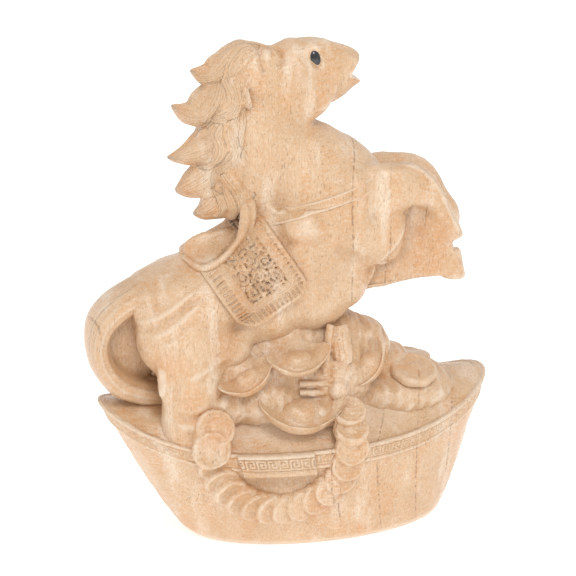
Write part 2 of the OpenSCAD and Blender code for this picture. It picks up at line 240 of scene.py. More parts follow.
class Bench:
    """Steps of modelling with Blender's own tools, one object at a time."""

    @staticmethod
    def only(*objects: Object) -> None:
        """Selects these objects alone and makes the first one active.

        Args:
            objects: The objects, at least one.
        """
        if bpy.context.object and bpy.context.object.mode != "OBJECT":
            bpy.ops.object.mode_set(mode="OBJECT")
        bpy.ops.object.select_all(action="DESELECT")
        for o in objects:
            o.select_set(True)
        bpy.context.view_layer.objects.active = objects[0]

    @classmethod
    def clear(cls) -> None:
        """Leaves one object selected, so that a new primitive comes in object mode."""
        cls.only(bpy.context.scene.objects[0])

    @staticmethod
    def read(items: bpy.types.bpy_prop_collection, name: str) -> Array:
        """Reads the vector that each item of a mesh has under a name.

        Args:
            items: The items.
            name: The vector's name.

        Returns:
            The vectors, one row each.
        """
        found = np.empty(len(items) * 3, np.float32)
        items.foreach_get(name, found)
        return found.reshape(-1, 3).astype(float)

    @classmethod
    def places(cls, obj: Object) -> Array:
        """Vertex places of a mesh, one row each."""
        return cls.read(obj.data.vertices, "co")

    @classmethod
    def normals(cls, obj: Object) -> Array:
        """Vertex normals of a mesh, one row each."""
        return cls.read(obj.data.vertex_normals, "vector")

    @staticmethod
    def move(obj: Object, places: Array) -> None:
        """Puts the vertices of a mesh at new places."""
        obj.data.vertices.foreach_set("co", places.astype(np.float32).ravel())
        obj.data.update()

    @classmethod
    def tidy(cls, obj: Object, gap: float = 0.002) -> Object:
        """Merges doubles and turns every face outwards.

        Args:
            obj: The object.
            gap: Vertices closer than this are merged, in millimetres.

        Returns:
            The same object.
        """
        cls.only(obj)
        bpy.ops.object.mode_set(mode="EDIT")
        bpy.ops.mesh.select_all(action="SELECT")
        bpy.ops.mesh.remove_doubles(threshold=gap)
        bpy.ops.mesh.normals_make_consistent(inside=False)
        bpy.ops.object.mode_set(mode="OBJECT")
        return obj

    @classmethod
    def sheet(cls, name: str, cols: int, rows: int, shape: Callable[[Array, Array], Array],
              closed: bool = True) -> Object:
        """Bends a grid into a form.

        Args:
            name: Name of the new object.
            cols: Faces along u.
            rows: Faces along v.
            shape: Gives the places for u and v, which run from 0 to 1.
            closed: Merges the seam and the poles, and turns the faces outwards.

        Returns:
            The bent grid.
        """
        cls.clear()
        bpy.ops.mesh.primitive_grid_add(x_subdivisions=cols, y_subdivisions=rows, size=1)
        obj = bpy.context.object
        obj.name = name
        flat = cls.places(obj) + 0.5
        u = np.rint(flat[:, 0] * cols) / cols
        v = np.rint(flat[:, 1] * rows) / rows
        cls.move(obj, shape(u, v))
        return cls.tidy(obj) if closed else obj

    @classmethod
    def loft(cls, name: str, rows: Rows, around: int = 40, steps: int = 4, grooves: int = 0,
             cut: float = 0.0) -> Object:
        """Makes a limb, a body or a cord: oval rings along a smooth path, closed at both ends.

        Args:
            name: Name of the new object.
            rows: Rows (x, y, z, half height, half width) along the path.
            around: Vertices in a ring.
            steps: Rings for each row.
            grooves: Lines cut along the form, all round it.
            cut: Depth of the grooves, as a share of the radius.

        Returns:
            The closed form.
        """
        path = denser(rows, steps)
        count = len(path)
        along = np.gradient(path[:, :3], axis=0)
        along /= np.linalg.norm(along, axis=1, keepdims=True)
        side = np.array([0.0, 1.0, 0.0]) - along * along[:, 1:2]
        side /= np.linalg.norm(side, axis=1, keepdims=True)
        up = np.cross(along, side)

        def shape(u: Array, v: Array) -> Array:
            """Places on the loft: u round it, v along it."""
            ring = np.rint(v * (count + 1)).astype(int)
            j = np.clip(ring - 1, 0, count - 1)
            a = u * FULL_TURN
            share = j / max(count - 1, 1)
            ridges = 0.5 + 0.5 * np.cos(grooves * a)
            depth = cut * (1 - ridges ** 0.6) * rise(share, 0.0, 0.12) * rise(1 - share, 0.0, 0.06)
            size = np.where((ring == 0) | (ring == count + 1), 0.0, 1 - depth)
            return (path[j, :3] + side[j] * (path[j, 4] * size * np.cos(a))[:, None]
                    + up[j] * (path[j, 3] * size * np.sin(a))[:, None])

        return cls.sheet(name, around, count + 1, shape)

    @classmethod
    def ball(cls, name: str, at: Sequence[float], radii: Sequence[float], tilt: float = 0.0,
             fine: int = 32) -> Object:
        """Makes a rounded lump.

        Args:
            name: Name of the new object.
            at: Its middle.
            radii: Its half sizes.
            tilt: Turn about the Y axis, in degrees.
            fine: Segments round it.

        Returns:
            The lump, with its place in its mesh.
        """
        cls.clear()
        bpy.ops.mesh.primitive_uv_sphere_add(segments=fine, ring_count=fine // 2, radius=1)
        obj = bpy.context.object
        obj.name = name
        obj.data.transform(Matrix.Translation(at) @ turn("Y", tilt) @ Matrix.Diagonal((*radii, 1)))
        return obj

    @classmethod
    def mirrored(cls, obj: Object) -> Object:
        """Copies an object to the far side, with its faces still outwards.

        Args:
            obj: The object on the near side, which stays.

        Returns:
            The copy.
        """
        cls.only(obj)
        bpy.ops.object.duplicate()
        other = bpy.context.object
        other.data.transform(Matrix.Diagonal((1, -1, 1, 1)))
        other.data.flip_normals()
        return other

    @classmethod
    def copies(cls, model: Object, places: Sequence[Matrix]) -> list[Object]:
        """Copies a model to each place, each copy with its own mesh. The model itself goes.

        Args:
            model: What is copied.
            places: Where the copies go.

        Returns:
            The copies.
        """
        made = []
        for place in places:
            cls.only(model)
            bpy.ops.object.duplicate()
            other = bpy.context.object
            other.data.transform(place)
            made.append(other)
        bpy.data.objects.remove(model)
        return made

    @classmethod
    def join(cls, name: str, parts: Sequence[Object]) -> Object:
        """Joins the parts into one object.

        Args:
            name: Name of the joined object.
            parts: What is joined.

        Returns:
            The joined object.
        """
        cls.only(*parts)
        bpy.ops.object.join()
        obj = bpy.context.object
        obj.name = obj.data.name = name
        return obj

    @classmethod
    def modifier(cls, obj: Object, kind: str, **values: object) -> Object:
        """Adds a modifier and applies it.

        Args:
            obj: The object.
            kind: The modifier's type.
            values: The modifier's settings.

        Returns:
            The same object.
        """
        cls.only(obj)
        m = obj.modifiers.new(kind.lower(), kind)
        for key, value in values.items():
            setattr(m, key, value)
        bpy.ops.object.modifier_apply(modifier=m.name)
        return obj

    @classmethod
    def smooth(cls, obj: Object, rounds: int) -> Object:
        """Rubs a form smooth."""
        return cls.modifier(obj, "SMOOTH", factor=0.5, iterations=rounds)

    @classmethod
    def thicken(cls, obj: Object, wall: float, outwards: bool) -> Object:
        """Gives an open sheet a wall in millimetres behind its face and closes it."""
        cls.modifier(obj, "SOLIDIFY", thickness=wall, offset=-1.0 if outwards else 1.0)
        return cls.tidy(obj, 0.0005)

    @classmethod
    def fuse(cls, obj: Object, grain: float, rounds: int) -> Object:
        """Melts overlapping forms into one skin with faces of this grain and rubs it smooth."""
        cls.modifier(obj, "REMESH", mode="VOXEL", voxel_size=grain, adaptivity=0.0)
        return cls.smooth(obj, rounds)

    @classmethod
    def subtract(cls, obj: Object, cutter: Object) -> None:
        """Cuts a cutter out of a form and throws the cutter away."""
        cls.modifier(obj, "BOOLEAN", operation="DIFFERENCE", solver="EXACT", object=cutter)
        bpy.data.objects.remove(cutter)


def tree_of(obj: Object) -> BVHTree:
    """A search tree over the surface of an object, in the units of its mesh."""
    verts = [v.co.copy() for v in obj.data.vertices]
    return BVHTree.FromPolygons(verts, [tuple(p.vertices) for p in obj.data.polygons])


# ---------------- the gouge: relief on a finished form


FAR_AWAY = 1e9
STROKE_STEPS = 5


class Profile(Enum):
    """Cross-section of a stroke."""

    ROUND = "round"
    SHARP = "sharp"
    LEDGE = "ledge"


class Side(Enum):
    """Which side of the horse a stroke is on."""

    NEAR = "near"
    BOTH = "both"


def follow(q: Array, path: Array) -> tuple[Array, Array, Array]:
    """Finds the nearest place on a path for each spot, as seen from the side.

    Args:
        q: Spots (x, z), one row each.
        path: Points (x, z) of the path, one row each.

    Returns:
        How far each spot is from the path, on which hand (1 on the left, -1 on the right), and how
        far along, counted in points of the path.
    """
    best, hand, along = np.full(len(q), FAR_AWAY), np.zeros(len(q)), np.zeros(len(q))
    for i, (a, b) in enumerate(zip(path[:-1], path[1:])):
        ab = b - a
        t = np.clip(((q - a) @ ab) / (ab @ ab), 0, 1)
        off = q - a - t[:, None] * ab
        away = np.linalg.norm(off, axis=1)
        near = away < best
        best = np.where(near, away, best)
        hand = np.where(near, np.sign(ab[0] * off[:, 1] - ab[1] * off[:, 0]), hand)
        along = np.where(near, i + t, along)
    return best, hand, along


@dataclass(frozen=True)
class Stroke:
    """One stroke of the gouge along a path (x, z), as seen from the side.

    depth is how far it stands out, or sinks where it is negative. A ledge sinks or rises on the left
    of its path alone. taper is the share of the path over which the stroke runs out at each end.
    """

    path: Rows
    width: float
    depth: float
    profile: Profile = Profile.ROUND
    side: Side = Side.BOTH
    taper: float = 0.25

    def form(self, away: Array, hand: Array) -> Array:
        """Gives the stroke's cross-section.

        Args:
            away: Distance from the path.
            hand: 1 on the left of the path, -1 on the right.

        Returns:
            The height, as a share of the depth.
        """
        if self.profile is Profile.SHARP:
            return np.clip(1 - away / self.width, 0, 1)
        if self.profile is Profile.LEDGE:
            return np.where(hand > 0, rise(away, 0, 0.4) * np.exp(-(away / self.width) ** 1.5), 0.0)
        return hump(away, 0.0, self.width)

    def __call__(self, p: Array, n: Array) -> Array:
        """Works out how far the stroke moves each place of a form.

        Args:
            p: The places, in millimetres.
            n: The normals there.

        Returns:
            The height of the stroke at each place.
        """
        path = denser(self.path, STROKE_STEPS)
        q, margin = p[:, (0, 2)], 4 * self.width
        near = ((q > path.min(0) - margin) & (q < path.max(0) + margin)).all(axis=1)
        if self.side is Side.NEAR:
            near &= p[:, 1] < 0
        idx = np.nonzero(near)[0]
        away, hand, along = follow(q[idx], path)
        run = run_of(path)
        share = np.interp(along, np.arange(len(path)), run) / run[-1]
        ends = rise(share, -0.01, self.taper) * rise(1 - share, -0.01, self.taper)
        out = np.zeros(len(p))
        out[idx] = self.depth * self.form(away, hand) * ends * rise(np.abs(n[idx, 1]), 0.1, 0.45)
        return out


@dataclass(frozen=True)
class Swelling:
    """A soft swelling or hollow seen from the side at (x, z), with half sizes rx and rz."""

    x: float
    z: float
    rx: float
    rz: float
    depth: float
    fall: float = 1.4

    def __call__(self, p: Array, n: Array) -> Array:
        """Height of the swelling at places p with normals n."""
        away = ((p[:, 0] - self.x) / self.rx) ** 2 + ((p[:, 2] - self.z) / self.rz) ** 2
        return self.depth * np.exp(-self.fall * away) * rise(np.abs(n[:, 1]), 0.0, 0.5)


@dataclass(frozen=True)
class GougeMarks:
    """The unevenness of a hand-held gouge: layers (height, wave length, seed)."""

    layers: Sequence[tuple[float, float, int]]

    def __call__(self, p: Array, n: Array) -> Array:
        """Height of the marks at places p."""
        return sum(height * ripple(p, length, seed) for height, length, seed in self.layers)


def carve(obj: Object, *reliefs: Relief) -> None:
    """Moves the skin of a form along its normals.

    Args:
        obj: The form.
        reliefs: What is carved, each giving a height for places and normals. They add up.
    """
    p, n = Bench.places(obj), Bench.normals(obj)
    height = sum(relief(p, n) for relief in reliefs)
    Bench.move(obj, p + n * height[:, None])


def wear_and_shading_of(obj: Object, rounds: int) -> Array:
    """Works out how proud of its surroundings each vertex lies.

    Args:
        obj: The form.
        rounds: How wide the surroundings are, in rounds of averaging over neighbours.

    Returns:
        Millimetres for each vertex: edges above 0, crevices below.
    """
    p, n = Bench.places(obj), Bench.normals(obj)
    e = np.empty(len(obj.data.edges) * 2, np.int32)
    obj.data.edges.foreach_get("vertices", e)
    a, b = e.reshape(-1, 2).T
    count = np.maximum(np.bincount(a, minlength=len(p)) + np.bincount(b, minlength=len(p)), 1)
    q = p.copy()
    for _ in range(rounds):
        sums = [np.bincount(a, q[b, k], len(p)) + np.bincount(b, q[a, k], len(p)) for k in range(3)]
        q = np.stack(sums, axis=1) / count[:, None]
    return ((p - q) * n).sum(axis=1)


# ---------------- finishes


Colour = tuple[float, float, float, float]
Inputs = dict[str | int, object]
WHITE: Colour = (1, 1, 1, 1)


class Nodes:
    """Shorthand for building a material's node tree."""

    def __init__(self, name: str) -> None:
        """Starts a material with a plain Principled surface and places in millimetres.

        Args:
            name: The material's name.
        """
        self.material = bpy.data.materials.new(name)
        self.material.use_nodes = True
        self.tree = self.material.node_tree
        self.surface = self.tree.nodes["Principled BSDF"]
        at = self.add("ShaderNodeTexCoord").outputs["Object"]
        self.mm = self.add("ShaderNodeVectorMath", {0: at, "Scale": 1 / MM}, operation="SCALE").outputs[0]

    def add(self, kind: str, inputs: Inputs | None = None, **values: object) -> bpy.types.Node:
        """Adds a node.

        Args:
            kind: The node's type.
            inputs: What feeds its inputs: sockets, numbers or colours.
            values: Its settings.

        Returns:
            The node.
        """
        node = self.tree.nodes.new(kind)
        for key, value in values.items():
            setattr(node, key, value)
        for key, value in (inputs or {}).items():
            self.feed(node.inputs[key], value)
        return node

    def feed(self, socket: Socket, value: object) -> None:
        """Links a socket to another, or sets its number or colour.

        Args:
            socket: The socket.
            value: Another socket, a number or a colour.
        """
        if isinstance(value, Socket):
            self.tree.links.new(value, socket)
        else:
            socket.default_value = value

    def dress(self, inputs: Inputs) -> bpy.types.Material:
        """Feeds the surface and hands over the material.

        Args:
            inputs: What feeds the surface's inputs.

        Returns:
            The material.
        """
        for key, value in inputs.items():
            self.feed(self.surface.inputs[key], value)
        return self.material

    def math(self, operation: str, *values: object) -> Socket:
        """Result of a Math node."""
        return self.add("ShaderNodeMath", dict(enumerate(values)), operation=operation).outputs[0]

    def vector(self, operation: str, *values: object) -> Socket:
        """Result of a Vector Math node that gives a vector."""
        return self.add("ShaderNodeVectorMath", dict(enumerate(values)), operation=operation).outputs[0]

    def length(self, operation: str, *values: object) -> Socket:
        """Result of a Vector Math node that gives a number."""
        return self.add("ShaderNodeVectorMath", dict(enumerate(values)), operation=operation).outputs["Value"]

    def times(self, a: object, b: object) -> Socket:
        """Product of two numbers."""
        return self.math("MULTIPLY", a, b)

    def read(self, name: str) -> Socket:
        """Value of an attribute of the mesh."""
        return self.add("ShaderNodeAttribute", attribute_name=name).outputs["Fac"]

    def step(self, value: object, low: float, high: float, to: Pair = (0.0, 1.0)) -> Socket:
        """Smooth change of a value: from to[0] at low to to[1] at high."""
        inputs = {0: value, 1: low, 2: high, 3: to[0], 4: to[1]}
        return self.add("ShaderNodeMapRange", inputs, interpolation_type="SMOOTHSTEP").outputs[0]

    def noise(self, scale: Triple, detail: float = 2.0, rough: float = 0.5) -> Socket:
        """Noise from 0 to 1: waves for each millimetre, layers of detail, and their strength."""
        inputs = {"Vector": self.vector("MULTIPLY", self.mm, scale), "Scale": 1.0, "Detail": detail,
                  "Roughness": rough}
        return self.add("ShaderNodeTexNoise", inputs).outputs["Fac"]

    def mix(self, share: object, a: object, b: object) -> Socket:
        """Mix of two colours, with this share of the second."""
        node = self.add("ShaderNodeMix", {0: share, 6: a, 7: b}, data_type="RGBA")
        return node.outputs[2]

    def layered(self, colour: object, layers: Sequence[tuple[object, Colour]]) -> Socket:
        """Lays colours over one another.

        Args:
            colour: The lowest colour.
            layers: Share and colour of each layer, from below.

        Returns:
            The whole.
        """
        for share, over in layers:
            colour = self.mix(share, colour, over)
        return colour


@dataclass(frozen=True)
class WoodFinish:
    """Pale ring-porous wood, rubbed to a satin. One grain runs through all pieces, as they are one block.

    A scale gives the waves for each millimetre along x, y and z. stains are places (x, z, radius,
    strength) that handling has turned orange; the one at x 26, z 64 over the web between the forelegs is
    painted shade.
    """

    name: str = "carved_wood"
    pale: Colour = (0.71, 0.505, 0.325, 1)
    deep: Colour = (0.60, 0.385, 0.215, 1)
    warm: Colour = (0.65, 0.335, 0.140, 1)
    # pale tone of faded patches and speckle, also painted as highlight on raised edges and on the backs of
    # hairs
    bleached_and_highlight: Colour = (0.80, 0.66, 0.51, 1)
    pore: Colour = (0.20, 0.085, 0.03, 1)
    # colour painted into hollows, for dust and as painted shade
    dust_and_shade: Colour = (0.34, 0.175, 0.075, 1)
    # colour of the stains, also used as painted shade over the web between the forelegs
    stain_and_shade: Colour = (0.62, 0.27, 0.085, 1)
    pith: Pair = (-16.4, 0.4)
    first_ring: float = 28.3
    ring: float = 7.5
    ring_sway: float = 3.6
    layers_a_mm: float = 7.4
    fibre_scale: Triple = (2.9, 2.9, 0.20)
    wave_scale: Triple = (0.60, 0.60, 2.5)
    speckle_scale: Triple = (3.6, 3.6, 1.1)
    pore_scale: Triple = (4.2, 4.2, 0.9)
    cloud_scale: Triple = (0.10, 0.10, 0.05)
    patch_scale: Triple = (0.19, 0.19, 0.055)
    faded_scale: Triple = (0.21, 0.15, 0.05)
    roughness: float = 0.40
    coat: float = 0.34
    coat_roughness: float = 0.24
    dent: float = 0.00018
    dent_strength: float = 0.9
    # how far hollows are painted dark (dust and painted shade) and raised edges pale (rubbing and painted
    # highlight)
    dark: float = 0.42
    rubbed_and_highlight: float = 0.6
    combed: bool = False
    # orange stains from handling; the one at (26, 64) over the web between the forelegs is painted shade
    stains_and_shade: Rows = (
        (-28.0, 55.0, 6.0, 0.6), (-29.5, 44.5, 4.5, 1.0), (-18.5, 47.5, 5.0, 0.5), (-21.5, 31.0, 4.5, 0.9),
        (26.0, 64.0, 11.0, 0.5), (-26.0, 36.0, 4.5, 0.6), (-24.0, 66.0, 2.4, 0.6), (-22.5, 104.0, 3.2, 0.8),
        (-25.8, 96.5, 3.2, 0.8), (-26.8, 86.0, 3.0, 0.8), (-24.5, 79.0, 3.0, 0.9), (-19.5, 74.5, 3.0, 0.7),
        (1.6, 10.0, 2.6, 0.6), (12.2, 101.2, 2.2, 0.7), (-15.0, 39.5, 4.0, 0.4))

    def stained_and_shaded(self, t: Nodes) -> Socket:
        """Works out how strongly each place takes the stain colour: real stains, and painted shade over the
        web between the forelegs.

        Args:
            t: The material's nodes.

        Returns:
            The strength, from 0 to 1.
        """
        flat = t.vector("MULTIPLY", t.mm, (1, 0, 1))
        most: object = 0.0
        for x, z, radius, strength in self.stains_and_shade:
            away = t.length("DISTANCE", flat, (x, 0, z))
            most = t.math("MAXIMUM", most, t.step(away, radius * 1.25, radius * 0.2, (0.0, strength)))
        return most

    def rings(self, t: Nodes) -> tuple[Socket, Socket, Socket]:
        """Draws the growth rings round the pith.

        Args:
            t: The material's nodes.

        Returns:
            The dark porous line of each ring, the early wood beside it, and fine layers.
        """
        away = t.vector("SUBTRACT", t.mm, (*self.pith, 0.0))
        radius = t.length("LENGTH", t.vector("MULTIPLY", away, (1, 1, 0)))
        sway = t.times(t.math("SUBTRACT", t.noise((0.04, 0.04, 0.02), 1.0), 0.5), self.ring_sway)
        radius = t.math("ADD", radius, sway)
        phase = t.math("DIVIDE", t.math("SUBTRACT", radius, self.first_ring), self.ring)
        near = t.math("ABSOLUTE", t.math("SUBTRACT", t.math("FRACT", t.math("ADD", phase, 0.5)), 0.5))
        dashes = t.step(t.noise((1.3, 1.3, 0.8), 2.0, 0.6), 0.40, 0.58)
        runs = t.step(t.noise((0.12, 0.12, 0.07), 1.0), 0.42, 0.60, (0.08, 1.0))
        strong = t.step(radius, 22.0, 27.0, (0.10, 1.0))
        line = t.times(t.step(near, 0.004, 0.034, (1.0, 0.0)), t.times(t.times(dashes, runs), strong))
        early = t.step(t.math("FRACT", phase), 0.0, 0.35, (1.0, 0.0))
        return line, early, t.math("SINE", t.times(radius, self.layers_a_mm))

    def hair(self, t: Nodes) -> Socket:
        """Fine hairs, -1 in their furrows and 1 on their backs, where the mesh says that it is combed."""
        return t.times(t.math("SINE", t.times(t.read("strand"), FULL_TURN)), t.read("combed"))

    def build(self) -> bpy.types.Material:
        """Makes the material's nodes.

        Returns:
            The material.
        """
        t = Nodes(self.name)
        line, early, layers = self.rings(t)
        # long fibres, short cross ripples left by the gouge, a fine speckle and pores
        fibre = t.noise(self.fibre_scale, 3.0, 0.65)
        waves = t.noise(self.wave_scale, 2.0, 0.6)
        speckle = t.noise(self.speckle_scale, 1.0)
        pores = t.step(t.noise(self.pore_scale, 1.0), 0.64, 0.76)
        # large patches: cloudy, orange where the gouge's ripples were rubbed, and faded
        cloudy = t.noise(self.cloud_scale)
        rows = t.math("MULTIPLY_ADD", t.step(waves, 0.40, 0.62), 0.55, 0.22)
        patch = t.times(t.step(t.noise(self.patch_scale), 0.48, 0.66), rows)
        faded = t.step(t.noise(self.faded_scale), 0.50, 0.68)
        colour = t.layered(self.pale, (
            (t.step(cloudy, 0.32, 0.68), self.deep),
            (t.times(early, 0.25), self.deep),
            (t.times(faded, 0.75), self.bleached_and_highlight),
            (patch, self.warm),
            # stains, and painted shade over the web between the forelegs
            (t.times(self.stained_and_shaded(t), t.step(cloudy, 0.25, 0.6, (0.3, 0.75))), self.stain_and_shade),
            (t.times(t.step(fibre, 0.45, 0.66), 0.42), self.warm),
            (t.times(t.step(layers, 0.0, 1.0), 0.10), self.warm),
            (t.times(t.step(waves, 0.52, 0.34), 0.16), self.bleached_and_highlight),
            (t.times(t.step(speckle, 0.50, 0.74), 0.36), self.bleached_and_highlight),
            (t.times(t.step(speckle, 0.50, 0.28), 0.60), self.deep),
            (t.times(pores, t.math("MULTIPLY_ADD", early, 0.35, 0.16)), self.pore),
            (t.times(line, 0.58), self.pore),
        ))
        # hollows are painted darker, for dust and oil and as painted shade; raised edges are painted paler,
        # for rubbing and as painted highlight
        wear_and_shading = t.read("wear_and_shading")
        colour = t.layered(colour, ((t.step(wear_and_shading, -0.03, -0.50, (0.0, self.dark)), self.dust_and_shade),
                                    (t.step(wear_and_shading, 0.04, 0.35, (0.0, self.rubbed_and_highlight)), self.bleached_and_highlight)))
        relief = t.math("MULTIPLY_ADD", waves, 0.8, t.times(speckle, 0.5))
        relief = t.math("MULTIPLY_ADD", fibre, 0.7, relief)
        relief = t.math("SUBTRACT", relief, t.times(t.math("MAXIMUM", pores, line), 0.6))
        if self.combed:
            hair = self.hair(t)
            # furrows between the hairs are painted darker as painted shade, and their backs paler as painted
            # highlight
            colour = t.layered(colour, ((t.step(hair, 0.2, -1.0, (0.0, 0.20)), self.warm),
                                        (t.step(hair, 0.3, 1.0, (0.0, 0.16)), self.bleached_and_highlight)))
            relief = t.math("MULTIPLY_ADD", hair, 0.5, relief)
        dents = {"Strength": self.dent_strength, "Distance": self.dent, "Height": relief}
        rough = t.math("MULTIPLY_ADD", t.math("SUBTRACT", fibre, 0.5), 0.3, self.roughness)
        return t.dress({"Base Color": colour, "Roughness": rough, "Coat Weight": self.coat,
                        "Coat Roughness": self.coat_roughness,
                        "Normal": t.add("ShaderNodeBump", dents).outputs[0]})


@dataclass(frozen=True)
class BeadFinish:
    """Polished black bead."""

    name: str = "eye_bead"
    colour: Colour = (0.008, 0.008, 0.010, 1)
    sheen_colour: Colour = (0.035, 0.035, 0.04, 1)
    smear_scale: Triple = (0.8, 0.8, 0.8)
    roughness: Pair = (0.05, 0.14)
    coat: float = 0.6
    coat_roughness: float = 0.03

    def build(self) -> bpy.types.Material:
        """Makes the material's nodes.

        Returns:
            The material.
        """
        t = Nodes(self.name)
        smear = t.noise(self.smear_scale)
        return t.dress({"Base Color": t.mix(t.step(smear, 0.35, 0.65), self.colour, self.sheen_colour),
                        "Roughness": t.step(smear, 0.3, 0.7, self.roughness),
                        "Coat Weight": self.coat, "Coat Roughness": self.coat_roughness})


@dataclass(frozen=True)
class FloorFinish:
    """Plain near-white paper."""

    name: str = "floor_paper"
    colour: Colour = (0.97, 0.97, 0.97, 1)
    shade: Colour = (0.95545, 0.95545, 0.95545, 1)
    cloud_scale: Triple = (0.01, 0.01, 0.01)
    roughness: float = 0.9
    glow: float = 0.42

    def build(self) -> bpy.types.Material:
        """Makes the material's nodes.

        Returns:
            The material.
        """
        t = Nodes(self.name)
        soft = t.noise(self.cloud_scale, 1.0)
        return t.dress({"Base Color": t.mix(t.step(soft, 0.3, 0.7), self.colour, self.shade),
                        "Roughness": self.roughness, "Emission Color": WHITE,
                        "Emission Strength": self.glow})


class Workshop:
    """Keeps the finished materials and turns a modelled form into a piece of the figurine."""

    def __init__(self) -> None:
        """Starts with no material and no piece."""
        self.made: dict[str, bpy.types.Material] = {}
        self.pieces: dict[str, Object] = {}

    def material(self, finish: WoodFinish | BeadFinish | FloorFinish) -> bpy.types.Material:
        """Gives the material of a finish, made on first use.

        Args:
            finish: The finish.

        Returns:
            Its material.
        """
        if finish.name not in self.made:
            self.made[finish.name] = finish.build()
        return self.made[finish.name]

    @staticmethod
    def mark(obj: Object, name: str, values: Array) -> None:
        """Writes an attribute on the vertices of a mesh."""
        column = obj.data.attributes.new(name, "FLOAT", "POINT")
        column.data.foreach_set("value", values.astype(np.float32))

    def finish(self, obj: Object, name: str, node: str, finish: WoodFinish | BeadFinish,
               slot: str = "carved_wood", wear_and_shading_rounds: int = 10, wear_and_shading_gain: float = 1.0,
               angle: float | None = None, hair: tuple[Array, Array] | None = None) -> None:
        """Brings a form to metres, dresses it and puts it on the body.

        Args:
            obj: The form, in millimetres.
            name: The piece's name.
            node: CAD node that it stands for.
            finish: Its finish.
            slot: The record's material slot; not used.
            wear_and_shading_rounds: How wide the surroundings are by which it is judged how proud each vertex
                lies.
            wear_and_shading_gain: Factor on how proud each vertex lies, which paints hollows darker (dust and
                painted shade) and raised edges paler (rubbing and painted highlight).
            angle: Edges sharper than this stay sharp, in degrees. None leaves it smooth all over.
            hair: Number of the hair at each vertex and how deep it is combed, for a combed finish.
        """
        Bench.only(obj)
        obj.name = obj.data.name = name
        # how proud each vertex lies; the material paints hollows darker (dust and painted shade) and raised
        # edges paler (rubbing and painted highlight)
        wear_and_shading = wear_and_shading_of(obj, wear_and_shading_rounds) * wear_and_shading_gain
        if angle is None:
            bpy.ops.object.shade_smooth()
        else:
            bpy.ops.object.shade_smooth_by_angle(angle=math.radians(angle))
        self.mark(obj, "wear_and_shading", wear_and_shading)
        for column, values in zip(("strand", "combed"), hair or ()):
            self.mark(obj, column, values)
        obj.data.transform(Matrix.Diagonal((MM, MM, MM, 1)))
        obj.data.materials.clear()
        obj.data.materials.append(self.material(finish))
        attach(obj, BODY)
        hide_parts(node)
        self.pieces[name] = obj
        low, high = Bench.places(obj).min(0) / MM, Bench.places(obj).max(0) / MM
        log.info("%s: %d faces, from %s to %s mm", name, len(obj.data.polygons), low.round(1), high.round(1))


# ---------------- the ingot


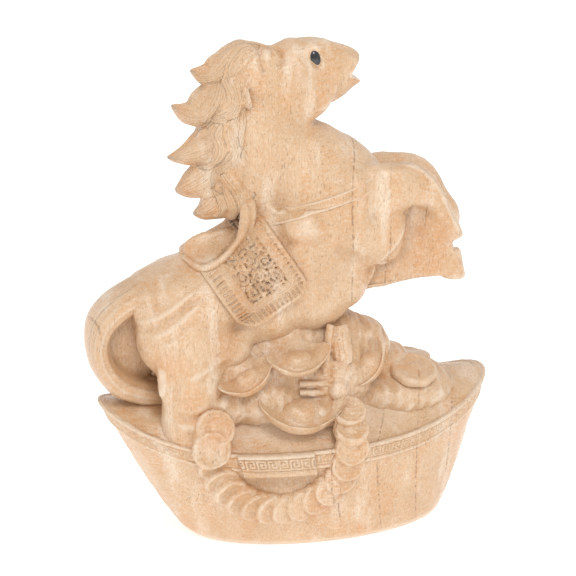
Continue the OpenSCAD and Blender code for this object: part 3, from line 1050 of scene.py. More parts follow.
@dataclass
class Ingot:
    """The boat-shaped base with its ornamental band, in millimetres."""

    half_l: float = 43.2
    half_d: float = 19.6
    foot_l: float = 28.4
    foot_d: float = 13.6
    foot_x: float = 4.6
    rim_z: float = 25.0
    tip_rise: float = 8.0
    tip_power: float = 3.2
    flare: float = 0.8
    deck_z: float = 33.0
    deck_sink: float = 0.4
    foot_round: float = 0.5
    rim_round: float = 0.25
    around: int = 480
    # the hollow under the plaque: its middle (x, z), half sizes and depth
    bowl: tuple[float, float, float, float, float] = (-6.4, 18.2, 8.6, 2.7, 1.6)
    band_h: float = 4.4
    band_around: int = 1100
    field_rows: int = 18
    field_edge: float = 1.0
    field_out: float = 0.12
    bead_out: float = 0.6
    bead_bulge: float = 0.55
    # the beads' cross-section from inside the wall outwards: (place down the band, share of the bulge)
    bead: Rows = ((0, -0.5), (0, 0.3), (0.08, 0.55), (0.3, 0.85), (0.55, 0.85), (0.8, 0.5), (0.95, 0.1))
    inside: float = -0.5
    plaque: Pair = (247.0, 268.8)
    plaque_out: float = 0.94
    plaque_more: float = 0.5
    key: float = 2.3
    key_relief: float = 0.22
    plaque_relief: float = 0.34
    finish: WoodFinish = WoodFinish()

    def rim(self, u: Array | float) -> Array:
        """Height of the rim at angles u in degrees."""
        return self.rim_z + self.tip_rise * np.abs(np.cos(np.radians(u))) ** self.tip_power

    def half_depth(self, v: Array | float) -> Array:
        """Half depth of the boat at a share v of the wall's height."""
        return self.foot_d + (self.half_d - self.foot_d) * np.maximum(v, 0) ** self.flare

    def wall(self, u: Array, v: Array, out: Array | float = 0.0) -> Array:
        """Finds places on the outer wall.

        Args:
            u: Angles round it, in degrees.
            v: Shares of its height, from 0 at the foot to 1 at the rim.
            out: How far the places stand out.

        Returns:
            The places, one row each.
        """
        flared, a = np.maximum(v, 0) ** self.flare, np.radians(u)
        length = self.foot_l + (self.half_l - self.foot_l) * flared
        return np.stack([self.foot_x * (1 - flared) + (length + out) * np.cos(a),
                         (self.half_depth(v) + out) * np.sin(a), v * self.rim(u)], axis=1)

    def below_rim(self, u: Array, drop: Array | float, out: Array | float) -> Array:
        """Places on the wall at a drop below the rim."""
        return self.wall(u, 1 - drop / self.rim(u), out)

    def base(self) -> Object:
        """Makes the solid boat: foot, flared wall, rounded rim and swelling deck.

        Returns:
            The boat.
        """
        low, edge = (0.0, 0.006, 0.02, 0.04), 0.985
        rings = ([("foot", s) for s in (0.0, 0.4, 0.75, 0.93)]
                 + [("wall", v) for v in (*low, *np.linspace(0.06, 1.0, 64))]
                 + [("deck", s) for s in (1.0, 0.985, 0.96, 0.93, 0.88, 0.82, 0.74, 0.65, 0.55, 0.44,
                                          0.32, 0.2, 0.1, 0.0)])

        def ring_places(kind: str, value: float, u: Array) -> Array:
            """Places on one ring at angles u."""
            if kind == "foot":
                return self.wall(u, np.zeros(len(u)), -self.foot_round) * (value, value, 0)
            if kind == "wall":
                out = (-self.foot_round * max(0.0, 1 - value / low[-1]) ** 2
                       - self.rim_round * max(0.0, (value - edge) / (1 - edge)))
                return self.wall(u, np.full(len(u), value), out)
            lip = self.below_rim(u, 0.3, -1.0)
            swell = (self.deck_z - lip[:, 2] - self.deck_sink) * (1 - value ** 2.4)
            return np.stack([lip[:, 0] * value, lip[:, 1] * value, lip[:, 2] + swell], axis=1)

        def shape(u: Array, v: Array) -> Array:
            """Places on the boat: u round it, v from the foot's middle to the deck's middle."""
            which = np.rint(v * (len(rings) - 1)).astype(int)
            out = np.zeros((len(u), 3))
            for i, (kind, value) in enumerate(rings):
                out[which == i] = ring_places(kind, value, u[which == i] * 360)
            return out

        boat = Bench.sheet("ingot_carved", self.around, len(rings) - 1, shape)
        carve(boat, self.marks_on_wall, self.bowl_under_plaque)
        return boat

    def marks_on_wall(self, p: Array, n: Array) -> Array:
        """Marks of the gouge everywhere but on the foot."""
        return GougeMarks(((0.09, 7, 3), (0.05, 3, 4)))(p, n) * rise(p[:, 2], 0.4, 2.0)

    def bowl_under_plaque(self, p: Array, n: Array) -> Array:
        """The hollow that undercuts the lower lip of the plaque."""
        x, z, half_l, half_h, depth = self.bowl
        fall = ((p[:, 0] - x) / half_l) ** 4 + ((p[:, 2] - z) / half_h) ** 2
        return -depth * np.exp(-fall) * (p[:, 1] < 0) * rise(-n[:, 1], 0.2, 0.6)

    @staticmethod
    def fret(s: Array, h: float) -> Array:
        """Draws a plain key fret.

        Args:
            s: Distance along the band, counted in keys.
            h: Height in the band's field, from 0 to 1.

        Returns:
            How raised each place is, from 0 to 1.
        """
        base = 0.1
        key = np.array(((0.0, base), (0.12, base), (0.12, 0.9), (0.82, 0.9), (0.82, 0.34), (0.42, 0.34),
                        (0.42, 0.62), (0.6, 0.62)))
        away = follow(np.stack([s % 1.0, np.full(len(s), h)], axis=1), key)[0]
        return 1 - rise(np.minimum(away, abs(h - base)), 0.05, 0.13)

    def band(self) -> Object:
        """Makes the band under the rim: two beads, a fret between them, and the plaque in front.

        Returns:
            The band.
        """
        fine, cols = self.field_rows, self.band_around
        section = ([("low", a, b) for a, b in self.bead] + [("field", i / (fine - 1),
                                                             0.0) for i in range(fine)]
                   + [("top", a, b) for a, b in self.bead[::-1]] + [("low", *self.bead[0])])
        run = run_of(self.below_rim(np.linspace(0, 360, cols + 1), 2.0, 0.0))
        keys = run / (run[-1] / round(run[-1] / self.key))

        def shape(u: Array, v: Array) -> Array:
            """Places on the band: u round the ingot, v round the band's section."""
            angle, which = u * 360, np.rint(v * (len(section) - 1)).astype(int)
            s = keys[np.rint(u * cols).astype(int)]
            on = (angle > self.plaque[0]) & (angle < self.plaque[1])
            drop, out = np.zeros(len(u)), np.zeros(len(u))
            height = self.band_h + self.plaque_more * on
            bulge = np.where(on, self.plaque_out + self.bead_bulge, self.bead_out)
            floor = np.where(on, self.plaque_out - 0.05, self.field_out)
            relief = np.where(on, self.plaque_relief, self.key_relief)
            for i, (kind, a, b) in enumerate(section):
                m = which == i
                if kind == "field":
                    drop[m] = height[m] - self.field_edge - a * (height[m] - 2 * self.field_edge)
                    out[m] = floor[m] + relief[m] * self.fret(s[m], a)
                else:
                    drop[m] = a if kind == "top" else height[m] - a
                    out[m] = self.inside if b < 0 else b * bulge[m] + (1 - b) * floor[m] * (a > 0.5)
            return self.below_rim(angle, np.maximum(drop, 0.0), out)

        along = np.linspace(self.plaque[0] + 0.2, self.plaque[1] - 0.2, 12)
        lip = [(*row, 0.6, 0.7) for row in self.below_rim(along, self.band_h + 0.3, self.plaque_out + 0.1)]
        band = Bench.join("band", [Bench.sheet("band", cols, len(section) - 1, shape),
                                   Bench.loft("lip", lip, 24, 6)])
        carve(band, GougeMarks(((0.06, 1.3, 8),)))
        return band

    def build(self, shop: Workshop) -> None:
        """Carves and dresses the boat and its band."""
        shop.finish(self.base(), "ingot_carved", "ingot_base", self.finish)
        shop.finish(self.band(), "rim_band_carved", "rim_band", self.finish, wear_and_shading_rounds=3, wear_and_shading_gain=2.2)


# ---------------- coins, small ingots and the heap


@dataclass
class Coin:
    """A thick coin with a rounded rim, a soft ring and a low swelling in the middle.

    section holds (share of the radius, share of the half thickness) from the middle to the edge.
    """

    radius: float
    thick: float = 2.3
    around: int = 40
    section: Rows = (
        (0, 0.92), (0.2, 0.90), (0.34, 0.80), (0.42, 0.70), (0.50, 0.80), (0.58, 0.86), (0.66, 0.78),
        (0.73, 0.84), (0.82, 0.98), (0.90, 0.94), (0.96, 0.72), (1.0, 0.30), (1.0, 0.0))

    def model(self) -> Object:
        """Makes the coin, lying flat with its middle at the origin.

        Returns:
            The coin.
        """
        top = denser(self.section, 2)
        rings = np.concatenate([top, (top * (1, -1))[-2::-1]]) * (self.radius, self.thick / 2)

        def shape(u: Array, v: Array) -> Array:
            """Places on the coin: u round it, v from its top to its underside."""
            r, z = rings[np.rint(v * (len(rings) - 1)).astype(int)].T
            return np.stack([r * np.cos(u * FULL_TURN), -r * np.sin(u * FULL_TURN), z], axis=1)

        return Bench.sheet("coin", self.around, len(rings) - 1, shape)


@dataclass
class CoinString:
    """Coins threaded in a U down the front wall, a bead, and a tassel against the belly.

    The rows of every form are (x, y, z, half height, half width).
    """

    ingot: Ingot
    coin_r: float = 3.9
    coins: int = 18
    # the turns on the U at which the first and the last coin lie, in degrees; past 0 and 180 they
    # lie on the rim and behind it
    first_turn: float = 205.0
    last_turn: float = -20.0
    middle_x: float = -7.0
    half_w: float = 14.7
    drop: float = 16.1
    over_rim: float = 2.0
    cord: Pair = (2.8, 2.0)
    cord_back: float = 1.2
    lean_out: Pair = (14.0, -42.0)
    overlap_tilt: float = 17.0
    sleeve: Rows = (
        (-21.2, -11.6, 31.4, 3.2, 2), (-22, -15, 30.2, 3.8, 2.4), (-22.3, -17.4, 27.8, 4, 2.2),
        (-22.4, -18.2, 25.6, 3.2, 1))
    # place, tilt and size of the coins on the sleeve
    sleeve_coins: Rows = ((-21.4, -16.6, 31.2, 30, 1.08), (-22.6, -18.2, 27.2, 12, 1.08))
    bead: Triple = (6.2, -13.0, 36.0)
    bead_r: float = 2.5
    skirt: Rows = (
        (7.6, -8.4, 48.6, 1.8, 1.6), (7.7, -9.4, 46.2, 2.3, 1.8), (7.9, -10, 43.4, 2.6, 1.8),
        (8.1, -10.4, 40.6, 2.2, 1.6))
    knot: Rows = ((6.8, -10.8, 41, 2.4, 1.6), (6.4, -11.8, 39.6, 2, 1.7), (6.2, -12.6, 38.2, 1.6, 1.5))
    rope: Rows = (
        (5.4, -9.6, 49.6, 0.8, 0.9), (4.6, -10.4, 45.6, 0.8, 0.9), (4, -11.2, 42, 0.9, 0.9),
        (3.6, -12.2, 38.8, 0.8, 0.8))
    bar: Rows = ((-2.2, -12.6, 37.9, 0.7, 0.7), (0.8, -12.9, 37.7, 0.75, 0.75), (4, -13, 37.5, 0.75, 0.75))
    bar_drops: Pair = (0.0, 2.1)
    grain: float = 0.24
    finish: WoodFinish = WoodFinish()

    def point(self, t: float) -> tuple[Vector, float, bool]:
        """Finds a place on the string.

        Args:
            t: Turn on the U, in degrees.

        Returns:
            The place, the lean of the coin there in degrees, and whether the string hangs there.
        """
        a = min(max(t, 0.0), 180.0)
        past, r = abs(t - a) / 10, math.radians(a)
        x = self.middle_x + self.half_w * math.cos(r)
        z = self.ingot.rim_z + self.over_rim - self.drop * math.sin(r) ** 0.9
        u = math.acos((x - self.ingot.foot_x / 2) / self.ingot.half_l)
        v = min(z / float(self.ingot.rim(math.degrees(u))), 1.0)
        y = -float(self.ingot.half_depth(v)) * math.sin(u)
        lean = -math.degrees(math.atan2(self.drop * math.cos(r), self.half_w * math.sin(r)))
        return Vector((x, y + 1.7 * past, z + 2.4 * past)), lean, 0 < t < 180

    def threaded(self) -> list[Object]:
        """Makes the coins, each lying on the one before it, and the cord behind them.

        Returns:
            The coins, the cord and the sleeve at its end.
        """
        spots, places = [], []
        for t in np.linspace(self.first_turn, self.last_turn, self.coins):
            at, lean, hangs = self.point(t)
            spots.append(at)
            places.append(Matrix.Translation(at) @ turn("X", self.lean_out[0 if hangs else 1])
                          @ turn("Y", lean) @ turn("X", 90) @ turn("Y", self.overlap_tilt))
        for x, y, z, tilt, size in self.sleeve_coins:
            places.append(Matrix.Translation((x, y, z)) @ turn("X", 90 - tilt) @ Matrix.Scale(size, 4))
        coins = Bench.copies(Coin(self.coin_r).model(), places)
        cord = [(at.x, at.y + self.cord_back, at.z, *self.cord) for at in spots]
        return coins + [Bench.loft("cord", cord, 24, 3), Bench.loft("sleeve", self.sleeve, 32, 5)]

    def tassel(self) -> list[Object]:
        """Makes the bead, the grooved tassel with its knot, the cord above it and two bars of cord.

        Returns:
            The parts, which overlap.
        """
        bars = [[(x, y, z - drop, *half) for x, y, z, *half in self.bar] for drop in self.bar_drops]
        return [Bench.ball("bead", self.bead, (self.bead_r,) * 3),
                Bench.loft("skirt", self.skirt, 64, 8, grooves=11, cut=0.16),
                Bench.loft("knot", self.knot, 24, 4), Bench.loft("rope", self.rope, 20, 6),
                *[Bench.loft("bar", rows, 16, 4) for rows in bars]]

    def build(self, shop: Workshop) -> None:
        """Carves the string from one skin, so that its coins melt softly into the wall.

        Args:
            shop: Dresses the pieces.
        """
        parts = Bench.join("coin_string_carved", self.threaded() + self.tassel())
        string = Bench.fuse(parts, self.grain, 4)
        carve(string, GougeMarks(((0.10, 3.4, 21), (0.05, 1.5, 22))))
        shop.finish(string, "coin_string_carved", "coin_string", self.finish, wear_and_shading_rounds=8, wear_and_shading_gain=1.5)


@dataclass
class SmallIngot:
    """A boat with raised tips, a sharp gunwale and a dome. Its sizes are shares of its length."""

    length: float
    half_w: float = 0.29
    hull: float = 0.26
    keel_rise: float = 0.16
    keel_drop: float = 0.03
    deck: float = 0.07
    dome: float = 0.15
    lip: float = 0.012

    def model(self) -> Object:
        """Makes the boat, with its middle at the origin.

        Returns:
            The boat.
        """
        def shape(u: Array, v: Array) -> Array:
            """Places on the boat: u round it, v from tip to tip."""
            s, a = -np.cos(v * math.pi), u * FULL_TURN
            full = np.maximum(1 - s * s, 0)
            keel = self.keel_rise * np.abs(s) ** 2.0 - self.keel_drop
            y, across = self.half_w * full ** 0.62 * np.cos(a), np.abs(np.cos(a))
            hull = keel + self.hull * full ** 0.6 * np.sin(a)
            dome = self.dome * np.exp(-((s / 0.42) ** 2 + (y / 0.19) ** 2) ** 2)
            deck = keel - self.deck * full * (1 - across ** 6) + dome
            lip = self.lip * hump(across, 0.95, 0.06) * full
            z = np.where(np.sin(a) < 0, hull, deck + lip)
            return np.stack([0.5 * s, y, z], axis=1) * self.length

        return Bench.sheet("small_ingot", 64, 48, shape)


@dataclass
class Treasure:
    """The heap under the belly, the small ingots and the loose coins in it.

    lumps holds the middle and the half sizes of each lump of the heap. ingot_at and coin_at hold the
    place, the turns about X, Y and Z in degrees, and the size of each small ingot and coin.
    """

    lumps: Rows = (
        (-3, 0, 36, 18, 12.6, 16), (8, 0, 38, 10, 10.6, 11.8), (22.5, -1.6, 30.6, 13.8, 11.2, 5.6),
        (-17, -4, 34.6, 7, 9.6, 8), (-9, -4, 33.4, 11, 11.2, 7), (6, -4, 35.6, 10, 10, 8),
        (1, -5, 30.6, 13, 12, 4.6), (15.4, -1, 40.6, 5.4, 7.6, 6.4), (-12, 4, 34, 12, 11.4, 7),
        (4, 4, 34, 13, 11.6, 7), (-18.5, -9.4, 33.5, 6.5, 5.4, 4.8), (-15.6, -7.4, 39.4, 7.5, 5.2, 5.8),
        (-22.5, -10, 31.4, 6.5, 5, 3.6), (19.6, 0, 36.4, 6.5, 7, 3.8))
    ingot_l: float = 15.0
    ingot_at: Rows = (
        (-14, -13.8, 41.1, 15, -24, 8, 0.88), (-2.6, -13.2, 44.2, 20, -5, 4, 0.96),
        (-2.3, -15, 33.3, 20, 2, 0, 1.30), (12.4, -9.8, 39.6, 24, -46, 0, 0.94),
        (14.6, 3.6, 42.4, -6, 10, 0, 0.8), (-10, 13.4, 40.4, -20, 15, 0, 0.94), (2, 14, 34, -26, -4, 0, 1.2))
    coin_r: float = 5.2
    coin_at: Rows = (
        (24.8, -7.4, 36.2, 17, 3, 0, 1), (27.4, 5, 34.6, -8, 8, 0, 1), (17, 11, 36, -30, 10, 0, 1),
        (-15, 14.6, 35, -36, -10, 0, 1), (-4, 15.4, 33, -40, 0, 0, 1))
    finish: WoodFinish = WoodFinish()

    @staticmethod
    def laid(rows: Rows) -> list[Matrix]:
        """Places, turns and sizes of the things in the heap."""
        return [Matrix.Translation((x, y, z)) @ turn("Z", rz) @ turn("Y", ry) @ turn("X", rx)
                @ Matrix.Scale(size, 4) for x, y, z, rx, ry, rz, size in rows]

    def build(self, shop: Workshop) -> None:
        """Carves the heap and what lies in it.

        Args:
            shop: Dresses the pieces.
        """
        heap = Bench.join("heap", [Bench.ball("lump", r[:3], r[3:], fine=64) for r in self.lumps])
        Bench.fuse(heap, 0.5, 5)
        carve(heap, GougeMarks(((0.30, 7, 31), (0.16, 2.6, 32))))
        shop.finish(heap, "treasure_mound_carved", "treasure_mound", self.finish)
        boats = Bench.copies(SmallIngot(self.ingot_l).model(), self.laid(self.ingot_at))
        boats = Bench.fuse(Bench.join("boats", boats), 0.24, 3)
        carve(boats, GougeMarks(((0.10, 3.2, 33),)))
        shop.finish(boats, "small_ingots_carved", "small_ingots", self.finish, wear_and_shading_rounds=9, wear_and_shading_gain=1.4)
        coins = Bench.copies(Coin(self.coin_r).model(), self.laid(self.coin_at))
        coins = Bench.fuse(Bench.join("coins", coins), 0.27, 4)
        carve(coins, GougeMarks(((0.10, 3.2, 34),)))
        shop.finish(coins, "loose_coins_carved", "loose_coins", self.finish, wear_and_shading_rounds=8, wear_and_shading_gain=1.4)


# ---------------- the horse


BARREL = 12.6
TORSO: Rows = (
    (-36, 0, 51.6, 3, 4), (-34.5, 0, 52, 7, 8.5), (-29.5, 0, 53.2, 8.8, 11.6), (-22, 0, 55.4, 9.2, BARREL),
    (-14, 0, 58.2, 9.5, BARREL), (-6, 0, 61.2, 12, BARREL), (2.6, 0, 66.9, 15.4, BARREL),
    (6, 0, 75.5, 14.2, 12), (1.6, 0, 83.2, 10.2, 9.6), (-3, 0, 89.6, 6.8, 7.4), (-5, 0, 96.5, 6.4, 6.2),
    (-5.5, 0, 102.5, 5.4, 5.4), (-6, 0, 107, 2, 2.6))


def bare_torso() -> Object:
    """Barrel, chest and neck alone."""
    return Bench.loft("torso", TORSO, 72, 5)


@dataclass
class Horse:
    """Body, head and legs of the rearing horse, and its two bead eyes.

    The rows of the head and the legs are (x, y, z, half height, half width). muscles and belly hold
    the middle, the half sizes and the tilt of each lump, and the muscles are mirrored.
    """

    head: Rows = (
        (-9, 0, 104, 3.2, 3), (-5, 0, 102.6, 7, 5.6), (-1, 0, 101.2, 8.8, 6.4), (3, 0, 102.3, 7.5, 5.9),
        (7, 0, 102.3, 6.9, 4.8), (10.5, 0, 102.8, 5.3, 3.9), (12.6, 0, 102.9, 4.1, 3.4),
        (13.9, 0, 103, 3.2, 2.9), (14.6, 0, 103.2, 2, 2))
    hind_leg: Rows = (
        (-24, -3, 61, 4, 4), (-25, -5.4, 55, 9, 6.6), (-25, -7, 48.6, 9.6, 6.8), (-24.8, -8.8, 42, 7.6, 5.8),
        (-24.6, -9.6, 37, 6.8, 5.4), (-24, -9.8, 32, 7.6, 5.6), (-23.4, -9.8, 25, 8.6, 6))
    near_foreleg: Rows = (
        (8, -6, 73, 10, 5), (14, -7.6, 76.4, 7.6, 4.6), (20, -8, 78.6, 5.4, 3.8), (25, -8, 77.8, 4.4, 3.3),
        (28.6, -8, 73.8, 3, 2.7), (31.6, -8, 69, 2.6, 2.5), (32.6, -8, 65.8, 2.8, 2.6))
    far_foreleg: Rows = (
        (8, 6, 73, 10, 5), (16, 7.4, 75.4, 6.4, 4.4), (23, 8, 77, 4.6, 3.8), (29.4, 8, 76.4, 3.8, 3.2),
        (34, 8, 71, 2.9, 2.7), (37.2, 8, 65.4, 2.8, 2.6), (35, 7.8, 61.8, 2.6, 2.4))
    muscles: Rows = (
        # head and neck: side of the neck, cheek, nostril, poll
        (-8, -1.6, 86.5, 8.5, 6.4, 14, 6), (0.6, -4.4, 98.6, 6, 2.4, 6, 0),
        (11, -2, 104.8, 2.4, 1.8, 1.6, 20), (-8.8, -1.2, 102.6, 5.0, 4.2, 6.0, 0),
        # fore half: shoulder, breast, upper arm, root of the shin
        (11, -6.6, 71.4, 9, 5.6, 11, -18), (0, -8.6, 71, 6, 4.4, 5, 0),
        (17.4, -7.0, 68.8, 5.4, 3.8, 8.2, -14), (28.6, -5.8, 68.4, 4.6, 3.4, 7.6, 0),
        # hind half: thigh, tendon, knee
        (-26, -5.6, 50.6, 9.8, 7.8, 12, 14), (-31, -11, 41.4, 1.6, 1.8, 6, 0),
        (-18.0, -8.2, 46.6, 6.6, 4.8, 5.4, 25))
    belly: Rows = (
        (6, 0, 60, 9.6, 10.4, 9, 35), (-8, 0, 52.6, 11.4, 11.6, 9, 0), (2.4, 0, 55, 10, 11.6, 9.4, 0),
        (8.4, 0, 57.4, 7.6, 10.8, 7.6, 0))
    # a hoof about its middle, and where the two hooves of the forelegs go
    hoof: Rows = (
        (0.2, 0, -3.6, 2.7, 2.7), (0.2, 0, -3.2, 3, 3), (0.1, 0, -2, 2.9, 2.9), (-0.2, 0, 1.6, 2.4, 2.4),
        (-0.4, 0, 3.6, 2.1, 2.1))
    hoof_size: float = 0.9
    hooves: Rows = ((33.2, -7.2, 60.2), (33.4, 7.2, 60.2))
    # corners (x, z, half width) of the uncut wood between the forelegs, and its faces between them
    web: Rows = (
        (17, 77, 5), (26, 76, 9.4), (31, 69.6, 9.4), (18, 67, 5.4), (34, 58.2, 9.4), (25, 58, 8.6),
        (14, 55, 6))
    web_faces: Sequence[Sequence[int]] = ((0, 1, 2, 3), (3, 2, 4, 5), (3, 5, 6))
    mouth: Rows = (
        (11.3, 101.5), (11.3, 102.4), (16.8, 111), (20, 111), (20, 96.5), (14.3, 96.5), (13.4, 100.5))
    # the socket's middle (x, z) and half sizes, and the bead's half sizes, tilt and seat in it
    socket_at: Pair = (3.1, 105.8)
    socket_size: Pair = (1.25, 1.75)
    socket_tilt: float = 20.0
    eye: Triple = (1.42, 1.0, 2.1)
    eye_tilt: float = -16.0
    eye_seat: Triple = (0.0, 0.42, -0.35)
    grain: float = 0.4
    finish: WoodFinish = WoodFinish()
    # muscles, folds, ear, jaw, nostril and the sharp edges of the legs
    reliefs: Sequence[Relief] = (
        # folds that fan out over the flank
        Stroke(((-36.4, 52.2), (-31.3, 55.2), (-27.3, 57.8), (-22.6, 60.6)), 0.7, 0.45),
        Stroke(((-36, 51), (-31, 53.8), (-26.6, 56.9), (-22, 59.2)), 0.8, -0.45),
        Stroke(((-34.4, 49.8), (-29.7, 52.6), (-26, 55.6), (-22.4, 58.2)), 0.7, 0.35),
        Stroke(((-32, 49), (-28, 51.6), (-24, 54.9)), 0.6, -0.35),
        Stroke(((-33, 48), (-29, 50.4), (-25, 53.6)), 0.5, 0.3),
        Stroke(((-36.4, 56), (-32, 57.6), (-28, 60)), 0.7, -0.25),
        Stroke(((-36.6, 47), (-36.4, 51.5), (-34.8, 56), (-31.2, 60.4)), 1.6, 0.5),
        # thigh, stifle and tendon of the hind leg
        Swelling(-25, 50, 7, 6.4, 0.8),
        Stroke(((-15.2, 53.6), (-15.4, 49), (-17.4, 45.2), (-21, 42.4)), 2, -0.9),
        Stroke(((-27.5, 41.2), (-21.6, 44), (-15.8, 45.3)), 1.2, 0.6),
        Stroke(((-31.7, 45), (-31.2, 40.7), (-31.9, 36.6)), 0.8, 0.5),
        Stroke(((-29.4, 44), (-29.2, 39.1), (-29.8, 35.4)), 1, -0.4),
        # the foot, half lost in the heap
        Stroke(((-30.6, 34.4), (-27, 33.2), (-22.6, 33.6), (-19, 35.4)), 0.9, -0.5),
        Stroke(((-30.2, 32.6), (-26.6, 31.2), (-22, 31.6), (-18.4, 33.2)), 0.9, 0.4),
        Stroke(((-22.6, 37), (-19.4, 35.6), (-16.6, 33.2)), 1.6, -0.4),
        # shoulder, breast and elbow
        Swelling(-0.4, 72.8, 4.2, 4, 1.4),
        Stroke(((-5.6, 75.4), (-6.3, 72.6), (-5.3, 69.6), (-3, 67.6)), 1.5, -0.9),
        Swelling(4.6, 71.3, 3, 4.4, 0.8),
        Swelling(10.2, 76.5, 3.4, 6.6, 0.9),
        Stroke(((13.2, 85.2), (13.9, 80), (13.6, 74.1), (15.4, 70.2)), 1.9, -1.1),
        Swelling(16.6, 79.6, 2.8, 3.4, -0.4),
        Stroke(((4.6, 67.4), (8.6, 65.3), (11.1, 63.4), (14.5, 62.5)), 1.5, -0.9),
        # the edge of the upper arm over the uncut web, and the sharp shin
        Stroke(((22.5, 75.4), (22.4, 72.4), (21.5, 68.9), (19.5, 65.8), (16.9, 62.7), (16, 59.4),
                (14, 55), (13.2, 52.4)), 9, -1.1, Profile.LEDGE, taper=0.12),
        Stroke(((9.9, 88.4), (15.2, 86.4), (20, 84.2), (24.2, 82.4), (27.6, 79.3), (30.8, 73.5),
                (34.2, 67.1)), 0.55, 0.5, Profile.SHARP, Side.NEAR, taper=0.1),
        # ear, laid back on the head
        Swelling(-6.4, 107.2, 1.9, 1.7, 0.8),
        Stroke(((-8.5, 109.4), (-8.3, 106.5), (-7.7, 103.6)), 0.6, -0.7, taper=0.1),
        Stroke(((-7.6, 109.4), (-6.2, 109), (-4.5, 108.3), (-3.6, 106.5), (-4.5, 105.6), (-5.6, 105.2)),
               0.55, -0.65, taper=0.12),
        Stroke(((-6.9, 108), (-5.9, 107.6), (-5.4, 106.6)), 0.4, -0.3),
        # jaw, cheek, brow, nostril and lips
        Stroke(((7.2, 101.7), (7.3, 99), (6.3, 97.4), (4.6, 96), (2.8, 95.2)), 0.8, 0.45),
        Stroke(((8.6, 101.6), (8.5, 99.2), (7.6, 97.2)), 0.9, -0.4),
        Swelling(0, 102.2, 3.6, 3.2, 0.9),
        Stroke(((0.4, 107.9), (2.6, 108.5), (4.8, 107.5)), 0.7, 0.35),
        Stroke(((8, 104.4), (8.8, 103.6), (8.9, 102.6)), 0.45, -0.35),
        Stroke(((12, 101.2), (10.9, 100.9), (10, 100.3)), 0.4, -0.25),
        # neck
        Swelling(-4, 91.6, 3, 4.6, 0.8),
        # marks of the gouge
        GougeMarks(((0.10, 7, 41), (0.05, 2.8, 42))),
    )

    def web_slabs(self) -> list[Object]:
        """Makes the uncut wood between the forelegs: hulls over flattened balls at the web's corners.

        Returns:
            One slab for each face of the web.
        """
        made = []
        for face in self.web_faces:
            corners = [self.web[i] for i in face]
            slab = Bench.join("web", [Bench.ball("corner", (x, 0, z), (1, half_w, 1), fine=24)
                                      for x, z, half_w in corners])
            bpy.ops.object.mode_set(mode="EDIT")
            bpy.ops.mesh.select_all(action="SELECT")
            bpy.ops.mesh.convex_hull()
            bpy.ops.object.mode_set(mode="OBJECT")
            made.append(slab)
        return made

    def mouth_wedge(self) -> Object:
        """Makes the wedge that is cut out for the open mouth.

        Returns:
            The wedge, right through the head.
        """
        count, half_w = len(self.mouth), 8.0
        Bench.clear()
        bpy.ops.mesh.primitive_cylinder_add(vertices=count, radius=1, depth=2)
        wedge = bpy.context.object
        p = Bench.places(wedge)
        which = np.rint(np.arctan2(p[:, 0], p[:, 1]) / FULL_TURN * count).astype(int) % count
        outline = np.array(self.mouth, float)[which]
        Bench.move(wedge, np.stack([outline[:, 0], p[:, 2] * half_w, outline[:, 1]], axis=1))
        return Bench.tidy(wedge)

    def body_form(self) -> Object:
        """Melts body, head and legs together, before any line is cut.

        Returns:
            The form.
        """
        hind = Bench.loft("hind_leg", self.hind_leg, 40, 5)
        parts = [bare_torso(), Bench.loft("head", self.head, 56, 5),
                 *[Bench.ball("belly", r[:3], r[3:6], r[6], 48) for r in self.belly],
                 hind, Bench.mirrored(hind), Bench.loft("near_foreleg", self.near_foreleg, 40, 5),
                 Bench.loft("far_foreleg", self.far_foreleg, 40, 5)]
        for r in self.muscles:
            lump = Bench.ball("muscle", r[:3], r[3:6], r[6], 40)
            parts += [lump, Bench.mirrored(lump)]
        form = Bench.fuse(Bench.join("form", parts), 0.7, 7)
        hooves = Bench.copies(Bench.loft("hoof", self.hoof, 32, 2), [
            Matrix.Translation(at) @ Matrix.Scale(self.hoof_size, 4) for at in self.hooves])
        return Bench.fuse(Bench.join("form", [form, *self.web_slabs(), *hooves]), self.grain, 5)

    def socket(self, p: Array, n: Array) -> Array:
        """Height of the rim and the hollow round each eye, at places p with normals n."""
        x, z = p[:, 0] - self.socket_at[0], p[:, 2] - self.socket_at[1]
        tilt = math.radians(self.socket_tilt)
        along, across = x * math.cos(tilt) + z * math.sin(tilt), z * math.cos(tilt) - x * math.sin(tilt)
        away = np.hypot(along / self.socket_size[0], across / self.socket_size[1])
        height = 0.10 * hump(away, 1.25, 0.28) - 0.5 * rise(-away, -1.05, -0.7)
        return height * rise(np.abs(n[:, 1]), 0.2, 0.5)

    def eyes(self, shop: Workshop, view: PhotoView) -> None:
        """Sets two polished oval beads in their sockets.

        Args:
            shop: Dresses the pieces, and holds the finished horse.
            view: Says where the near eye shows.
        """
        at = view.spot("near_eye", tree_of(shop.pieces["horse_carved"]))
        bead = Bench.ball("bead", (0, 0, 0), self.eye, fine=48)
        bead.data.transform(Matrix.Translation(at + Vector(self.eye_seat)) @ turn("Y", self.eye_tilt))
        far = Bench.mirrored(bead)
        shop.finish(bead, "near_eye_bead", "near_eye", BeadFinish(), "eye_bead")
        shop.finish(far, "far_eye_bead", "far_eye", BeadFinish(), "eye_bead")

    def build(self, shop: Workshop, view: PhotoView) -> None:
        """Carves the horse and sets its eyes.

        Args:
            shop: Dresses the pieces.
            view: The photograph's view.
        """
        form = self.body_form()
        carve(form, *self.reliefs, self.socket)
        Bench.subtract(form, self.mouth_wedge())
        shop.finish(form, "horse_carved", "horse", self.finish, wear_and_shading_rounds=12, angle=45)
        self.eyes(shop, view)


@dataclass(frozen=True)
class Lock:
    """One lock of hair as it lies on the side of a form.

    rows are (x, z, half width). level is how high it lies over others, from 0 to 1, and root is the
    share of its length over which it comes up.
    """

    rows: Rows
    level: float = 0.0
    root: float = 0.16


